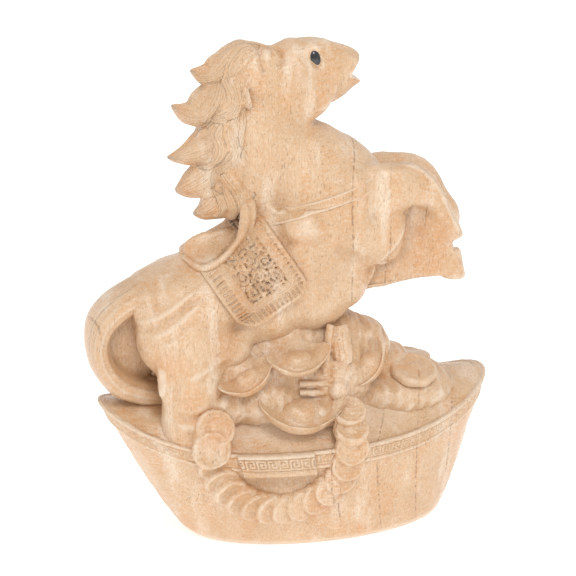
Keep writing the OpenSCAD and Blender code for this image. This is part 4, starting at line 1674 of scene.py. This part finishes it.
@dataclass(frozen=True)
class Comb:
    """Lays locks over a form.

    swell is the height of a lock's middle over its sides, spacing the width of a hair in the widest
    part of a lock, gap the height where no lock lies, and level the height of a lock at level 1.
    """

    swell: float
    spacing: float
    gap: float
    level: float = 0.7
    thinnest: float = 0.05
    between_locks: float = 0.37

    def lay(self, p: Array, locks: Sequence[Lock]) -> tuple[Array, Array, Array]:
        """Lays the locks.

        Args:
            p: Places on the form, in millimetres.
            locks: The locks.

        Returns:
            How high each place comes to lie, the number of the hair there, and how deep it is combed,
            0 at a lock's edges.
        """
        height, strand, depth = np.full(len(p), self.gap), np.zeros(len(p)), np.zeros(len(p))
        q = p[:, (0, 2)]
        for lock in locks:
            path = denser(lock.rows, 6)
            points = np.arange(len(path))
            widest = path[:, 2].max()
            low, high = path[:, :2].min(0) - widest, path[:, :2].max(0) + widest
            idx = np.nonzero(((q > low) & (q < high)).all(axis=1))[0]
            away, hand, along = follow(q[idx], path[:, :2])
            n = hand * away / np.maximum(np.interp(along, points, path[:, 2]), self.thinnest)
            level = self.level * lock.level
            up = rise(along / points[-1], 0, lock.root)
            lift = level + self.swell * (1 - n * n) - (self.swell + level) * (1 - up)
            over = (np.abs(n) < 1) & (lift > height[idx])
            hair = n * widest / self.spacing + self.between_locks * len(lock.rows)
            height[idx] = np.where(over, lift, height[idx])
            strand[idx] = np.where(over, hair, strand[idx])
            depth[idx] = np.where(over, np.clip(2.2 * (0.64 - n * n), 0, 1), depth[idx])
        return height, strand, depth

    def hairs(self, p: Array, facing: Array, strand: Array, depth: Array) -> tuple[Array, Array]:
        """Number and depth of the hairs: as laid on the sides, and straight over the back."""
        side = facing > 0.3
        return np.where(side, strand, p[:, 1] / self.spacing), np.where(side, depth, 0.6)


@dataclass
class Hair:
    """Mane and tail: locks that overlap, with fine hairs along them.

    crest is the mane's mass, and points are the five points that stand out behind it. They and
    tail_band have rows (x, y, z, half height, half width).
    """

    crest: Rows = (
        (-10.4, 0, 105.4, 2.6, 3.4), (-13, 0, 101, 4, 5), (-14.6, 0, 95, 4.6, 6.2), (-14.6, 0, 89, 5, 7),
        (-13.6, 0, 82.6, 5, 6.9), (-13.8, 0, 78.4, 3.6, 5), (-13.6, 0, 74.8, 2, 3.6))
    points: Sequence[Rows] = (
        ((-6, 0, 105, 3.2, 3.2), (-11, 0, 105.2, 4.4, 4.4), (-15.6, 0, 104, 3.6, 3.6),
         (-19, 0, 103.2, 2.4, 2.2), (-21.8, 0, 104.2, 0.3, 0.4)),
        ((-11, 0, 98.8, 4.6, 5.6), (-15, 0, 97.8, 5.2, 5.2), (-19.4, 0, 96.2, 4.2, 4),
         (-23, 0, 95.4, 2.4, 2.2), (-25.9, 0, 97, 0.3, 0.4)),
        ((-11, 0, 91, 4.8, 6.2), (-15.8, 0, 89.6, 5, 5.6), (-20.4, 0, 87.4, 3.6, 3.8),
         (-23.8, 0, 86.2, 2, 2), (-27.3, 0, 85.9, 0.2, 0.3)),
        ((-11, 0, 85, 4.8, 6.6), (-15.6, 0, 82.8, 5, 5.8), (-19.8, 0, 80.6, 4, 3.8),
         (-23, 0, 79.2, 2.4, 2.4), (-25.6, 0, 78.5, 0.3, 0.4)),
        ((-10.6, 0, 79, 4.6, 6.8), (-14, 0, 76.8, 4.4, 5.6), (-17.4, 0, 75, 3.4, 3.4),
         (-19.8, 0, 73.6, 1.8, 1.8), (-21.9, 0, 73.3, 0.3, 0.4)),
    )
    locks: Sequence[Lock] = (
        Lock(((-8.7, 109.2, 1.95), (-11.9, 108.1, 2.34), (-15, 105.6, 2.34), (-17.5, 103.1, 1.95),
              (-20, 102.5, 1.36), (-21.5, 103.7, 0.68), (-21.9, 104.4, 0.12))),
        Lock(((-15.5, 103.8, 1.46), (-16.7, 99.9, 1.95), (-18.3, 96.8, 2.19), (-20.5, 94.7, 2.05),
              (-23.2, 94.7, 1.66), (-25, 95.9, 0.97), (-26, 97.1, 0.12)), 0.1),
        Lock(((-17.4, 96, 1.36), (-19.2, 93.2, 1.56), (-21.8, 92.1, 1.17), (-24.2, 92.8, 0.68),
              (-25.6, 94.6, 0.15))),
        Lock(((-14.3, 93, 1.46), (-17, 90.4, 1.95), (-20.2, 88.3, 2.05), (-22.9, 86.9, 1.66),
              (-25.2, 86.2, 0.88), (-27.4, 85.9, 0.12)), 0.05),
        Lock(((-16.2, 87.6, 1.46), (-18, 85, 1.85), (-20.3, 82.4, 2.05), (-22.6, 80.7, 1.95),
              (-24.4, 79.4, 1.27), (-25.9, 78.5, 0.12)), 0.1),
        Lock(((-15.8, 81.1, 1.46), (-17.2, 78.5, 1.95), (-18.6, 76.2, 1.95), (-20, 74.7, 1.46),
              (-21.4, 73.6, 0.58), (-22, 73.3, 0.12))),
        Lock(((-8.6, 106.6, 1.36), (-10.9, 107.9, 1.66), (-13.6, 105.8, 1.66), (-14.7, 102.8, 1.56),
              (-14.1, 99.7, 1.46), (-14.3, 97, 1.46), (-16.3, 95.3, 1.27), (-19, 94.6, 0.68),
              (-20.1, 94.2, 0.15)), 0.55),
        Lock(((-8, 105.2, 0.97), (-9.8, 104.3, 1.36), (-11.6, 102.2, 1.46), (-11.8, 99.5, 1.27),
              (-10.7, 97.2, 0.88), (-9.6, 96.3, 0.19)), 0.3),
        Lock(((-16.1, 95.1, 1.36), (-17.7, 92, 1.56), (-17.1, 89.2, 1.56), (-17.6, 86.5, 1.46),
              (-19.4, 84.4, 0.97), (-21.2, 84.1, 0.15)), 0.45),
        Lock(((-13.4, 96.3, 1.27), (-14.8, 94.1, 1.46), (-15.3, 91.5, 1.56), (-14.4, 88.7, 1.46),
              (-14.9, 86.4, 1.36), (-17.1, 84.3, 1.07), (-18.4, 81.7, 0.68), (-19, 79.9, 0.15)), 0.6),
        Lock(((-13.4, 90.1, 1.17), (-12.4, 86.9, 1.46), (-10.6, 84, 1.46), (-9.8, 81.2, 1.17),
              (-10.4, 79, 0.49), (-10.7, 78, 0.12)), 0.5),
        Lock(((-17.1, 85.2, 1.17), (-15.8, 82.6, 1.46), (-14.2, 80.2, 1.56), (-13.2, 77.8, 1.36),
              (-13.2, 75.8, 0.88), (-14, 74.2, 0.2)), 0.5),
        Lock(((-16.1, 82.1, 1.17), (-15, 78.4, 1.46), (-14.1, 75.1, 1.27), (-14.4, 72.8, 0.68),
              (-15.3, 71.9, 0.15)), 0.3),
        Lock(((-18.6, 80.2, 1.07), (-16.8, 77.3, 1.27), (-16.4, 75.4, 0.97), (-17.3, 73.6, 0.49),
              (-18.2, 73.2, 0.12)), 0.2),
        Lock(((-12, 96.5, 0.97), (-12.7, 93, 1.36), (-13.6, 90.3, 1.36), (-15.2, 87.7, 1.27),
              (-16.6, 86, 0.78), (-17.9, 85.2, 0.19)), 0.4),
    )
    tail_band: Rows = (
        (-28, 0, 58.8, 4.2, 6), (-33.4, 0, 57, 3.4, 6.4), (-38.4, 0, 54.7, 2.9, 6.6),
        (-42, 0, 51.3, 2.8, 6.6), (-43.3, 0, 46.7, 2.6, 6.6), (-42.1, 0, 41.5, 2.8, 6.4),
        (-38.6, 0, 37.2, 3.2, 6), (-33, 0, 34.6, 3, 5), (-26, 0, 33.4, 2.4, 3.6))
    tail_lock: Lock = Lock(((-28, 58.8, 4.4), (-33.4, 57, 3.8), (-38.4, 54.7, 3.3), (-42, 51.3, 3.2),
                            (-43.3, 46.7, 3),
              (-42.1, 41.5, 3.2), (-38.6, 37.2, 3.6), (-33, 34.6, 3.4), (-26, 33.4, 2.6)), 0, 0.02)
    # the sheet of wood that closes the hollow of the tail's curl: its middle, half sizes and tilt
    bowl: Sequence[float] = (-35.6, 1.2, 46.6, 7.8, 3.4, 10.6, 6)
    mane_comb: Comb = Comb(0.55, 0.58, -0.15)
    tail_comb: Comb = Comb(0.3, 1.6, 0.0)
    finish: WoodFinish = WoodFinish(name="carved_hair", combed=True, dark=0.3)

    def mane(self) -> tuple[Object, tuple[Array, Array]]:
        """Makes the mane.

        Returns:
            The mane, and its hairs for Workshop.finish.
        """
        parts = [Bench.loft("crest", self.crest, 56, 6)]
        parts += [Bench.loft("point", rows, 48, 6) for rows in self.points]
        mane = Bench.fuse(Bench.join("mane", parts), 0.24, 3)
        p, n = Bench.places(mane), Bench.normals(mane)
        facing = rise(np.abs(n[:, 1]), 0.12, 0.5)
        height, strand, depth = self.mane_comb.lay(p, self.locks)
        rolled = 0.09 * depth * np.cos(strand * FULL_TURN / 3)
        back = 0.2 * np.cos(p[:, 1] * FULL_TURN / 2.4)
        lift = facing * (height + rolled) + (1 - facing) * back + 0.05 * ripple(p, 3, 45)
        Bench.move(mane, p + n * lift[:, None])
        return Bench.smooth(mane, 8), self.mane_comb.hairs(p, facing, strand, depth)

    def tail(self) -> tuple[Object, tuple[Array, Array]]:
        """Makes the tail's broad band, curled into a C round its hollow.

        Returns:
            The tail, and its hairs for Workshop.finish.
        """
        parts = [Bench.loft("band", self.tail_band, 72, 8),
                 Bench.ball("bowl", self.bowl[:3], self.bowl[3:6], self.bowl[6], 48)]
        tail = Bench.fuse(Bench.join("tail", parts), 0.36, 14)
        p, n = Bench.places(tail), Bench.normals(tail)
        facing = rise(np.abs(n[:, 1]), 0.12, 0.5)
        height, strand, depth = self.tail_comb.lay(p, [self.tail_lock])
        Bench.move(tail, p + n * (facing * height + 0.08 * ripple(p, 5, 51))[:, None])
        return Bench.smooth(tail, 6), self.tail_comb.hairs(p, facing, strand, depth)

    def build(self, shop: Workshop) -> None:
        """Carves and dresses mane and tail.

        Args:
            shop: Dresses the pieces.
        """
        mane, hair = self.mane()
        shop.finish(mane, "mane_carved", "mane", self.finish, wear_and_shading_rounds=8, wear_and_shading_gain=0.9, hair=hair)
        tail, hair = self.tail()
        shop.finish(tail, "tail_carved", "tail", self.finish, wear_and_shading_rounds=10, hair=hair)


# ---------------- saddle, cloth and strap


def box_distance(uv: Sequence[Array], box: Sequence[float], corner: float) -> Array:
    """Measures how far places are from a rectangle with rounded corners.

    Args:
        uv: The places, as columns u and v.
        box: The rectangle's middle and half sizes.
        corner: Radius of its corners.

    Returns:
        The distances, below 0 inside.
    """
    (u, v), (middle_u, middle_v, half_u, half_v) = uv, box
    du, dv = np.abs(u - middle_u) - half_u + corner, np.abs(v - middle_v) - half_v + corner
    return np.hypot(np.maximum(du, 0), np.maximum(dv, 0)) + np.minimum(np.maximum(du, dv), 0) - corner


@dataclass(frozen=True)
class Embroidery:
    """Relief of the saddle cloth at its own places (u, v), in millimetres from its middle.

    lines and panel_lines are the raised lines round the cloth and round its panel: (distance
    outside, half width, height). panel holds its middle and half sizes. Each scroll has its middle in
    the panel, its size and its hand.
    """

    length: float = 17.5
    drop: float = 20.5
    corner: float = 4.2
    lines: Rows = ((-0.55, 0.32, 0.30),)
    panel: tuple[float, float, float, float] = (0.8, 1.8, 4.8, 7.2)
    panel_corner: float = 0.8
    panel_lines: Rows = ((0.15, 0.24, 0.44), (0.95, 0.24, 0.36))
    ray: float = 1.05
    scrolls: Rows = (
        (-2.9, -4.2, 1, 1), (2.9, -4, 1, -1), (-2.8, -0.6, 0.9, -1), (2.9, -0.4, 1, 1), (-2.6, 3.2, 1, 1),
        (2.6, 3.4, 0.9, -1), (0, -2.2, 0.8, 1), (0.1, 5.6, 0.8, -1), (0, 1.6, 0.8, -1))
    scroll_turns: Pair = (0.3, 3.1 * math.pi)
    scroll_points: int = 30
    # the drilled dots: their rows along u and v (start, end, step), how far they stray, how deep they are
    dots_u: Triple = (-4.1, 4.2, 1.03)
    dots_v: Triple = (-6.4, 6.5, 1.07)
    stray: Pair = (0.3, 0.35)
    deep: Pair = (0.4, 1.0)
    dot_spread: float = 0.06
    seed: int = 5

    def edge(self, uv: Sequence[Array]) -> Array:
        """How far places are from the cloth's edge, below 0 on the cloth."""
        return box_distance(uv, (0, 0, self.length / 2, self.drop / 2), self.corner)

    def picture(self, uv: Sequence[Array]) -> Array:
        """Carves scrolls and a wavy stem on a sunk ground with drilled dots.

        Args:
            uv: The places, as columns u and v.

        Returns:
            The height there.
        """
        (u, v), (middle_u, middle_v) = uv, self.panel[:2]
        a = np.linspace(*self.scroll_turns, self.scroll_points)
        away = np.abs(u - middle_u + 0.5 * np.sin((v - middle_v) * 1.3)) + 0.05
        for at_u, at_v, size, hand in self.scrolls:
            r = size * (0.10 + 0.155 * a)
            line_u = middle_u + at_u + r * np.cos(a + at_u) * hand
            line_v = middle_v + at_v + r * np.sin(a + at_u)
            away = np.minimum(away, np.hypot(u[:, None] - line_u, v[:, None] - line_v).min(axis=1))
        height = 0.74 * (1 - rise(away, 0.14, 0.44)) - 0.36
        rng, (stray_u, stray_v) = np.random.default_rng(self.seed), self.stray
        spots = [(middle_u + du + rng.uniform(-stray_u, stray_u),
                  middle_v + dv + rng.uniform(-stray_v, stray_v))
                 for du in np.arange(*self.dots_u) for dv in np.arange(*self.dots_v)]
        for (du, dv), depth in zip(spots, rng.uniform(*self.deep, len(spots))):
            height -= depth * np.exp(-((u - du) ** 2 + (v - dv) ** 2) / self.dot_spread)
        return height

    def relief(self, uv: Sequence[Array]) -> Array:
        """Adds up border, fringe, double line, scrolls, dots and the unevenness of the ground.

        Args:
            uv: The places, as columns u and v.

        Returns:
            The height there.
        """
        (u, v), (middle_u, middle_v, half_u, half_v) = uv, self.panel
        edge, panel = self.edge(uv), box_distance(uv, self.panel, self.panel_corner)
        out = sum(height * hump(edge, at, half) for at, half, height in self.lines)
        out += sum(height * hump(panel, at, half) for at, half, height in self.panel_lines)
        # short rays between the panel's lines and the border
        beside = np.abs(u - middle_u) - half_u > np.abs(v - middle_v) - half_v
        rays = np.cos(np.where(beside, v, u) * FULL_TURN / self.ray)
        out += rise(panel, 1.35, 1.7) * rise(-edge, 0.95, 1.3) * (0.36 * rays - 0.2)
        out += rise(-panel, 0.25, 0.5) * self.picture(uv)
        return out + 0.05 * np.sin(u * 5.1 + 1.7 * np.sin(v * 3.3)) * np.sin(v * 4.7)


@dataclass
class Tack:
    """Saddle, embroidered saddle cloth and breast strap, all carved in the same wood.

    The near side is made and mirrored. The saddle's ridge and rim have rows (x, y, z).
    """

    rim: Rows = (
        (-24.3, -1.8, 64.4), (-23.6, -5, 64.2), (-22.2, -7.7, 63.9), (-20.6, -8.6, 64.3), (-18, -8.3, 65.5),
        (-15.2, -7.1, 67.5), (-13.6, -6.2, 68.9), (-12.6, -5.8, 71.1), (-12.2, -6.2, 75), (-12.6, -5, 79.2))
    ridge: Rows = (
        (-24.4, 0.3, 65.2), (-24.1, 0.3, 66.6), (-22.8, 0.3, 68.1), (-20.6, 0.3, 69), (-17.4, 0.3, 69.5),
        (-15, 0.3, 69.9), (-13.4, 0.3, 70.2), (-12.4, 0.3, 71.8), (-11.3, 0.3, 74.8), (-10.4, 0.3, 77.6))
    dish_depth: float = 1.1
    dish_rows: int = 36
    dish_wall: float = 2.2
    saddle_grain: float = 0.3
    cloth_at: Pair = (-11.8, 62.7)
    cloth_tilt: float = 32.5
    cloth_t: float = 1.0
    cloth_wall: float = 1.2
    cloth_faces: tuple[int, int] = (150, 162)
    embroidery: Embroidery = Embroidery()
    # the saddle covers the cloth this far below its rim, behind this x
    saddle_over: float = 0.4
    saddle_front: float = -11.6
    tucked: float = 4.0
    # the strap's middle (x, z), how far round the chest it runs in degrees, and its slope
    strap_at: Pair = (-1.0, 75.4)
    strap_reach: float = 128.0
    strap_slope: float = 0.306
    strap_w: float = 2.7
    strap_t: float = 0.5
    strap_wall: float = 0.8
    strap_faces: tuple[int, int] = (220, 14)
    # a ray starts this far out, a hit on the horse counts this near to the torso, and a miss lies here
    ray_from: float = 40.0
    skin_out: float = 2.2
    skin_reach: float = 4.2
    miss: float = 10.0
    finish: WoodFinish = WoodFinish()

    def saddle(self) -> Object:
        """Makes the leaf-shaped seat: on each side a smooth dish between its ridge and its rolled rim.

        Returns:
            The saddle.
        """
        rim, ridge = denser(self.rim, 8), denser(self.ridge, 8)
        last = len(rim) - 1

        def shape(u: Array, v: Array) -> Array:
            """Places on the near dish: u along it, v from the ridge to the rim."""
            i = np.rint(u * last).astype(int)
            p = ridge[i] + (rim[i] - ridge[i]) * v[:, None]
            inward = np.stack([0.30 + 0.35 * u, 0.55 * v ** 0.5, -0.75 + 0.3 * u], axis=1)
            inward /= np.linalg.norm(inward, axis=1, keepdims=True)
            sunk = self.dish_depth * np.sin(math.pi * v ** 1.1) * rise(u, -0.05, 0.2)
            return p + inward * sunk[:, None]

        dish = Bench.sheet("dish", last, self.dish_rows, shape, closed=False)
        Bench.thicken(dish, self.dish_wall, sum(f.normal.z for f in dish.data.polygons) > 0)
        run = np.linspace(0, 1, last + 1)
        thick = (0.75 + 0.55 * hump(run, 0.86, 0.12)) * rise(1 - run, -0.04, 0.12)
        roll = [Bench.ball("roll", at, (r, r, r), fine=14) for at, r in zip(rim, thick)]
        side = Bench.join("saddle", [dish, *roll])
        return Bench.fuse(Bench.join("saddle", [side, Bench.mirrored(side)]), self.saddle_grain, 5)

    def cloth(self, skin: BVHTree, torso: BVHTree) -> Object:
        """Lays a sheet of relief on each flank.

        Args:
            skin: The finished horse, in metres.
            torso: The bare torso, in millimetres.

        Returns:
            Both sheets as one object.
        """
        seam = np.array([(x, z) for x, _, z in self.rim[2:-2]])
        tilt = math.radians(self.cloth_tilt)

        def shape(u: Array, v: Array) -> Array:
            """Places on the near sheet: the front face, and the rim turned in under it."""
            cu, cv = (u - 0.5) * self.embroidery.length, (v - 0.5) * self.embroidery.drop
            edge = self.embroidery.edge((cu, cv))
            pull = np.where(edge > 0, edge / np.maximum(np.hypot(cu, cv), 1e-6), 0.0)
            cu, cv = cu * (1 - pull), cv * (1 - pull)
            edge = self.embroidery.edge((cu, cv))
            x = self.cloth_at[0] + cu * math.cos(tilt) - cv * math.sin(tilt)
            z = self.cloth_at[1] + cu * math.sin(tilt) + cv * math.cos(tilt)
            # what would lie under the saddle is turned down into the horse's back
            over = np.interp(x, seam[:, 0], seam[:, 1]) + self.saddle_over
            under = (z > over) & (x < self.saddle_front)
            x, z = np.where(under, x + self.tucked, x), np.where(under, over - self.tucked, z)
            y = np.full(len(u), -1.0)
            for i in np.nonzero(~under)[0]:
                start = Vector((x[i], -self.ray_from, z[i]))
                for tree, unit in ((torso, 1.0), (skin, MM)):
                    hit = tree.ray_cast(start * unit, Vector((0, 1, 0)), (self.ray_from - 1) * unit)[0]
                    if hit:
                        y[i] = min(y[i], hit.y / unit)
            raised = self.cloth_t * rise(-edge, -0.05, 0.35) - 0.7 * rise(edge, -0.12, 0.0)
            return np.stack([x, y - raised - self.embroidery.relief((cu, cv)) * rise(-edge, 0.1, 0.5),
                             z], axis=1)

        near = Bench.sheet("cloth", *self.cloth_faces, shape, closed=False)
        Bench.thicken(near, self.cloth_wall, sum(f.normal.y for f in near.data.polygons) < 0)
        return Bench.join("saddle_cloth_carved", [near, Bench.mirrored(near)])

    def strap(self, skin: BVHTree, torso: BVHTree) -> Object:
        """Lays the breast strap round the chest: a ribbon with two raised edges.

        Args:
            skin: The finished horse, in metres.
            torso: The bare torso, in millimetres.

        Returns:
            The strap.
        """
        cols, rows = self.strap_faces
        lines = np.linspace(-1, 1, rows + 1)
        laid, outward = np.zeros((cols + 1, rows + 1, 3)), np.zeros((cols + 1, rows + 1, 3))
        for i, angle in enumerate(np.radians(np.linspace(-self.strap_reach, self.strap_reach, cols + 1))):
            way = Vector((math.cos(angle), math.sin(angle), self.strap_slope * math.cos(angle))).normalized()
            for j, across in enumerate(lines):
                middle = Vector((self.strap_at[0], 0.0, self.strap_at[1] + across * self.strap_w / 2))
                hit, normal = torso.ray_cast(middle + way * self.ray_from, -way, self.ray_from)[:2]
                if hit is None:
                    hit, normal = middle + way * self.miss, way
                start = (hit + normal * self.skin_out) * MM
                over = skin.ray_cast(start, -normal, self.skin_reach * MM)[0]
                laid[i, j], outward[i, j] = (hit if over is None else over / MM), normal
        for _ in range(10):
            laid[1:-1] = 0.25 * laid[:-2] + 0.5 * laid[1:-1] + 0.25 * laid[2:]

        def shape(u: Array, v: Array) -> Array:
            """Places on the ribbon: u round the chest, v across it."""
            i, j = np.rint(u * cols).astype(int), np.rint(v * rows).astype(int)
            across = np.abs(lines[j])
            ridge = self.strap_t * (0.35 + 0.65 * hump(across, 0.72, 0.22))
            ridge = ridge * (1 - 0.8 * rise(laid[i, j, 0], 7.0, 11.5))
            ridge = ridge * (0.2 + 0.8 * rise(1 - np.abs(2 * u - 1), 0.0, 0.06))
            return laid[i, j] + outward[i, j] * np.where(across > 0.97, -0.5, ridge)[:, None]

        strap = Bench.sheet("strap", cols, rows, shape, closed=False)
        chest = Vector((0, 0, 76))
        outwards = sum((f.center - chest).dot(f.normal) for f in strap.data.polygons) > 0
        return Bench.thicken(Bench.smooth(strap, 2), self.strap_wall, outwards)

    def build(self, shop: Workshop) -> None:
        """Carves and dresses the tack on the finished horse.

        Args:
            shop: Dresses the pieces, and holds the finished horse.
        """
        skin = tree_of(shop.pieces["horse_carved"])
        bare = bare_torso()
        torso = tree_of(bare)
        bpy.data.objects.remove(bare)
        saddle = self.saddle()
        carve(saddle, GougeMarks(((0.05, 4, 61),)))
        shop.finish(saddle, "saddle_carved", "saddle", self.finish, wear_and_shading_rounds=10, wear_and_shading_gain=0.6)
        shop.finish(self.cloth(skin, torso), "saddle_cloth_carved", "saddle_cloth", self.finish,
                    wear_and_shading_rounds=4, wear_and_shading_gain=2.2)
        shop.finish(self.strap(skin, torso), "breast_strap_carved", "breast_strap", self.finish,
                    wear_and_shading_rounds=4, wear_and_shading_gain=1.5)


# ---------------- studio, measures and the whole


@dataclass(frozen=True)
class Lamp:
    """A soft box: how it is turned from the near side, how high it stands, its distance, size and power."""

    name: str
    azimuth: float
    elevation: float
    distance: float
    size: float
    watts: float


@dataclass
class Studio:
    """White paper floor and soft daylight."""

    floor_size: float = 6.0
    sky: float = 0.765
    white: Colour = (1, 1, 1, 1)
    aim: Triple = (0.0, 0.0, 0.055)
    lamps: Sequence[Lamp] = (Lamp("key", 2, 52, 0.9, 0.32, 2.6), Lamp("side", -75, 34, 1.0, 0.5, 0.7))

    def light(self, lamp: Lamp) -> None:
        """Hangs a lamp that looks at the figurine.

        Args:
            lamp: The lamp.
        """
        way = way_to(lamp.azimuth, lamp.elevation)
        bpy.ops.object.light_add(type="AREA", location=Vector(self.aim) + way * lamp.distance,
                                 rotation=way.to_track_quat("Z", "Y").to_euler())
        light = bpy.context.object
        light.name = lamp.name
        light.data.shape, light.data.size, light.data.energy = "DISK", lamp.size, lamp.watts

    def build(self, shop: Workshop) -> None:
        """Lays the floor and sets the lights and the tone.

        Args:
            shop: Makes the floor's material.
        """
        Bench.clear()
        bpy.ops.mesh.primitive_grid_add(x_subdivisions=8, y_subdivisions=8, size=self.floor_size)
        floor = bpy.context.object
        floor.name = "floor"
        floor.data.materials.append(shop.material(FloorFinish()))
        world = bpy.data.worlds.new("daylight")
        bpy.context.scene.world = world
        world.use_nodes = True
        background = world.node_tree.nodes["Background"]
        background.inputs["Color"].default_value = self.white
        background.inputs["Strength"].default_value = self.sky
        for lamp in self.lamps:
            self.light(lamp)
        bpy.context.scene.view_settings.view_transform = "Standard"
        bpy.context.scene.view_settings.exposure = 0.0


def report_points(view: PhotoView, shop: Workshop) -> None:
    """Writes how far each edge and six of the named points show from their places.

    Args:
        view: The photograph's view.
        shop: Where the finished pieces are.
    """
    spots = {name: Bench.places(o) for name, o in shop.pieces.items()}
    shown = view.shows(np.concatenate(list(spots.values())))
    found = {"left_x": shown[:, 0].min(), "right_x": shown[:, 0].max(), "top_y": shown[:, 1].min(),
             "bottom_y": shown[:, 1].max()}
    offsets: dict[str, object] = {k: round(float(found[k] - view.edges[k]), 1) for k in view.edges}

    def middle(piece: str, low: Sequence[float], high: Sequence[float]) -> Array:
        """Middle of what shows of a piece inside a box in millimetres."""
        p = spots[piece] / MM
        seen = view.shows(spots[piece][((p >= low) & (p <= high)).all(axis=1)])
        return (seen.min(0) + seen.max(0)) / 2

    horse, mane, saddle = spots["horse_carved"], spots["mane_carved"], view.shows(spots["saddle_carved"])
    # the toe is the farthest forward and down on the near side, the tip the farthest back at its height
    toe = np.argmax(horse[:, 0] - 0.35 * horse[:, 2] - 0.004 * (horse[:, 1] > 0))
    lock = mane[abs(mane[:, 2] - 0.0955) < 0.004]
    features = {
        "near_eye": middle("near_eye_bead", (-FAR_AWAY,) * 3, (FAR_AWAY,) * 3),
        "tassel_ball": middle("coin_string_carved", (3.6, -15.6, 33.4), (8.8, -13.2, 38.6)),
        "toe": view.shows(horse)[toe],
        "mane_tip": view.shows(lock)[np.argmin(lock[:, 0])],
        "saddle_back": saddle[np.argmin(saddle[:, 0])],
        "lowest_coin": middle("coin_string_carved", (-10.9, -FAR_AWAY, 6), (-3.1, -10, 16.2)),
    }
    for name, at in features.items():
        offsets[name] = [round(float(at[i] - view.points[name][i]), 1) for i in (0, 1)]
    log.info("points off by %s", offsets)


def main() -> None:
    """Builds the figurine piece by piece, then the studio, and writes the measures."""
    logging.basicConfig(level=logging.INFO, stream=sys.stdout,
                        format="%(relativeCreated)d ms %(name)s: %(message)s")
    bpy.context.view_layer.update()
    view, shop = PhotoView(), Workshop()
    view.make_camera()
    ingot = Ingot()
    ingot.build(shop)
    Horse().build(shop, view)
    Hair().build(shop)
    Tack().build(shop)
    Treasure().build(shop)
    CoinString(ingot).build(shop)
    Studio().build(shop)
    report_points(view, shop)


if __name__ == "__main__":
    main()
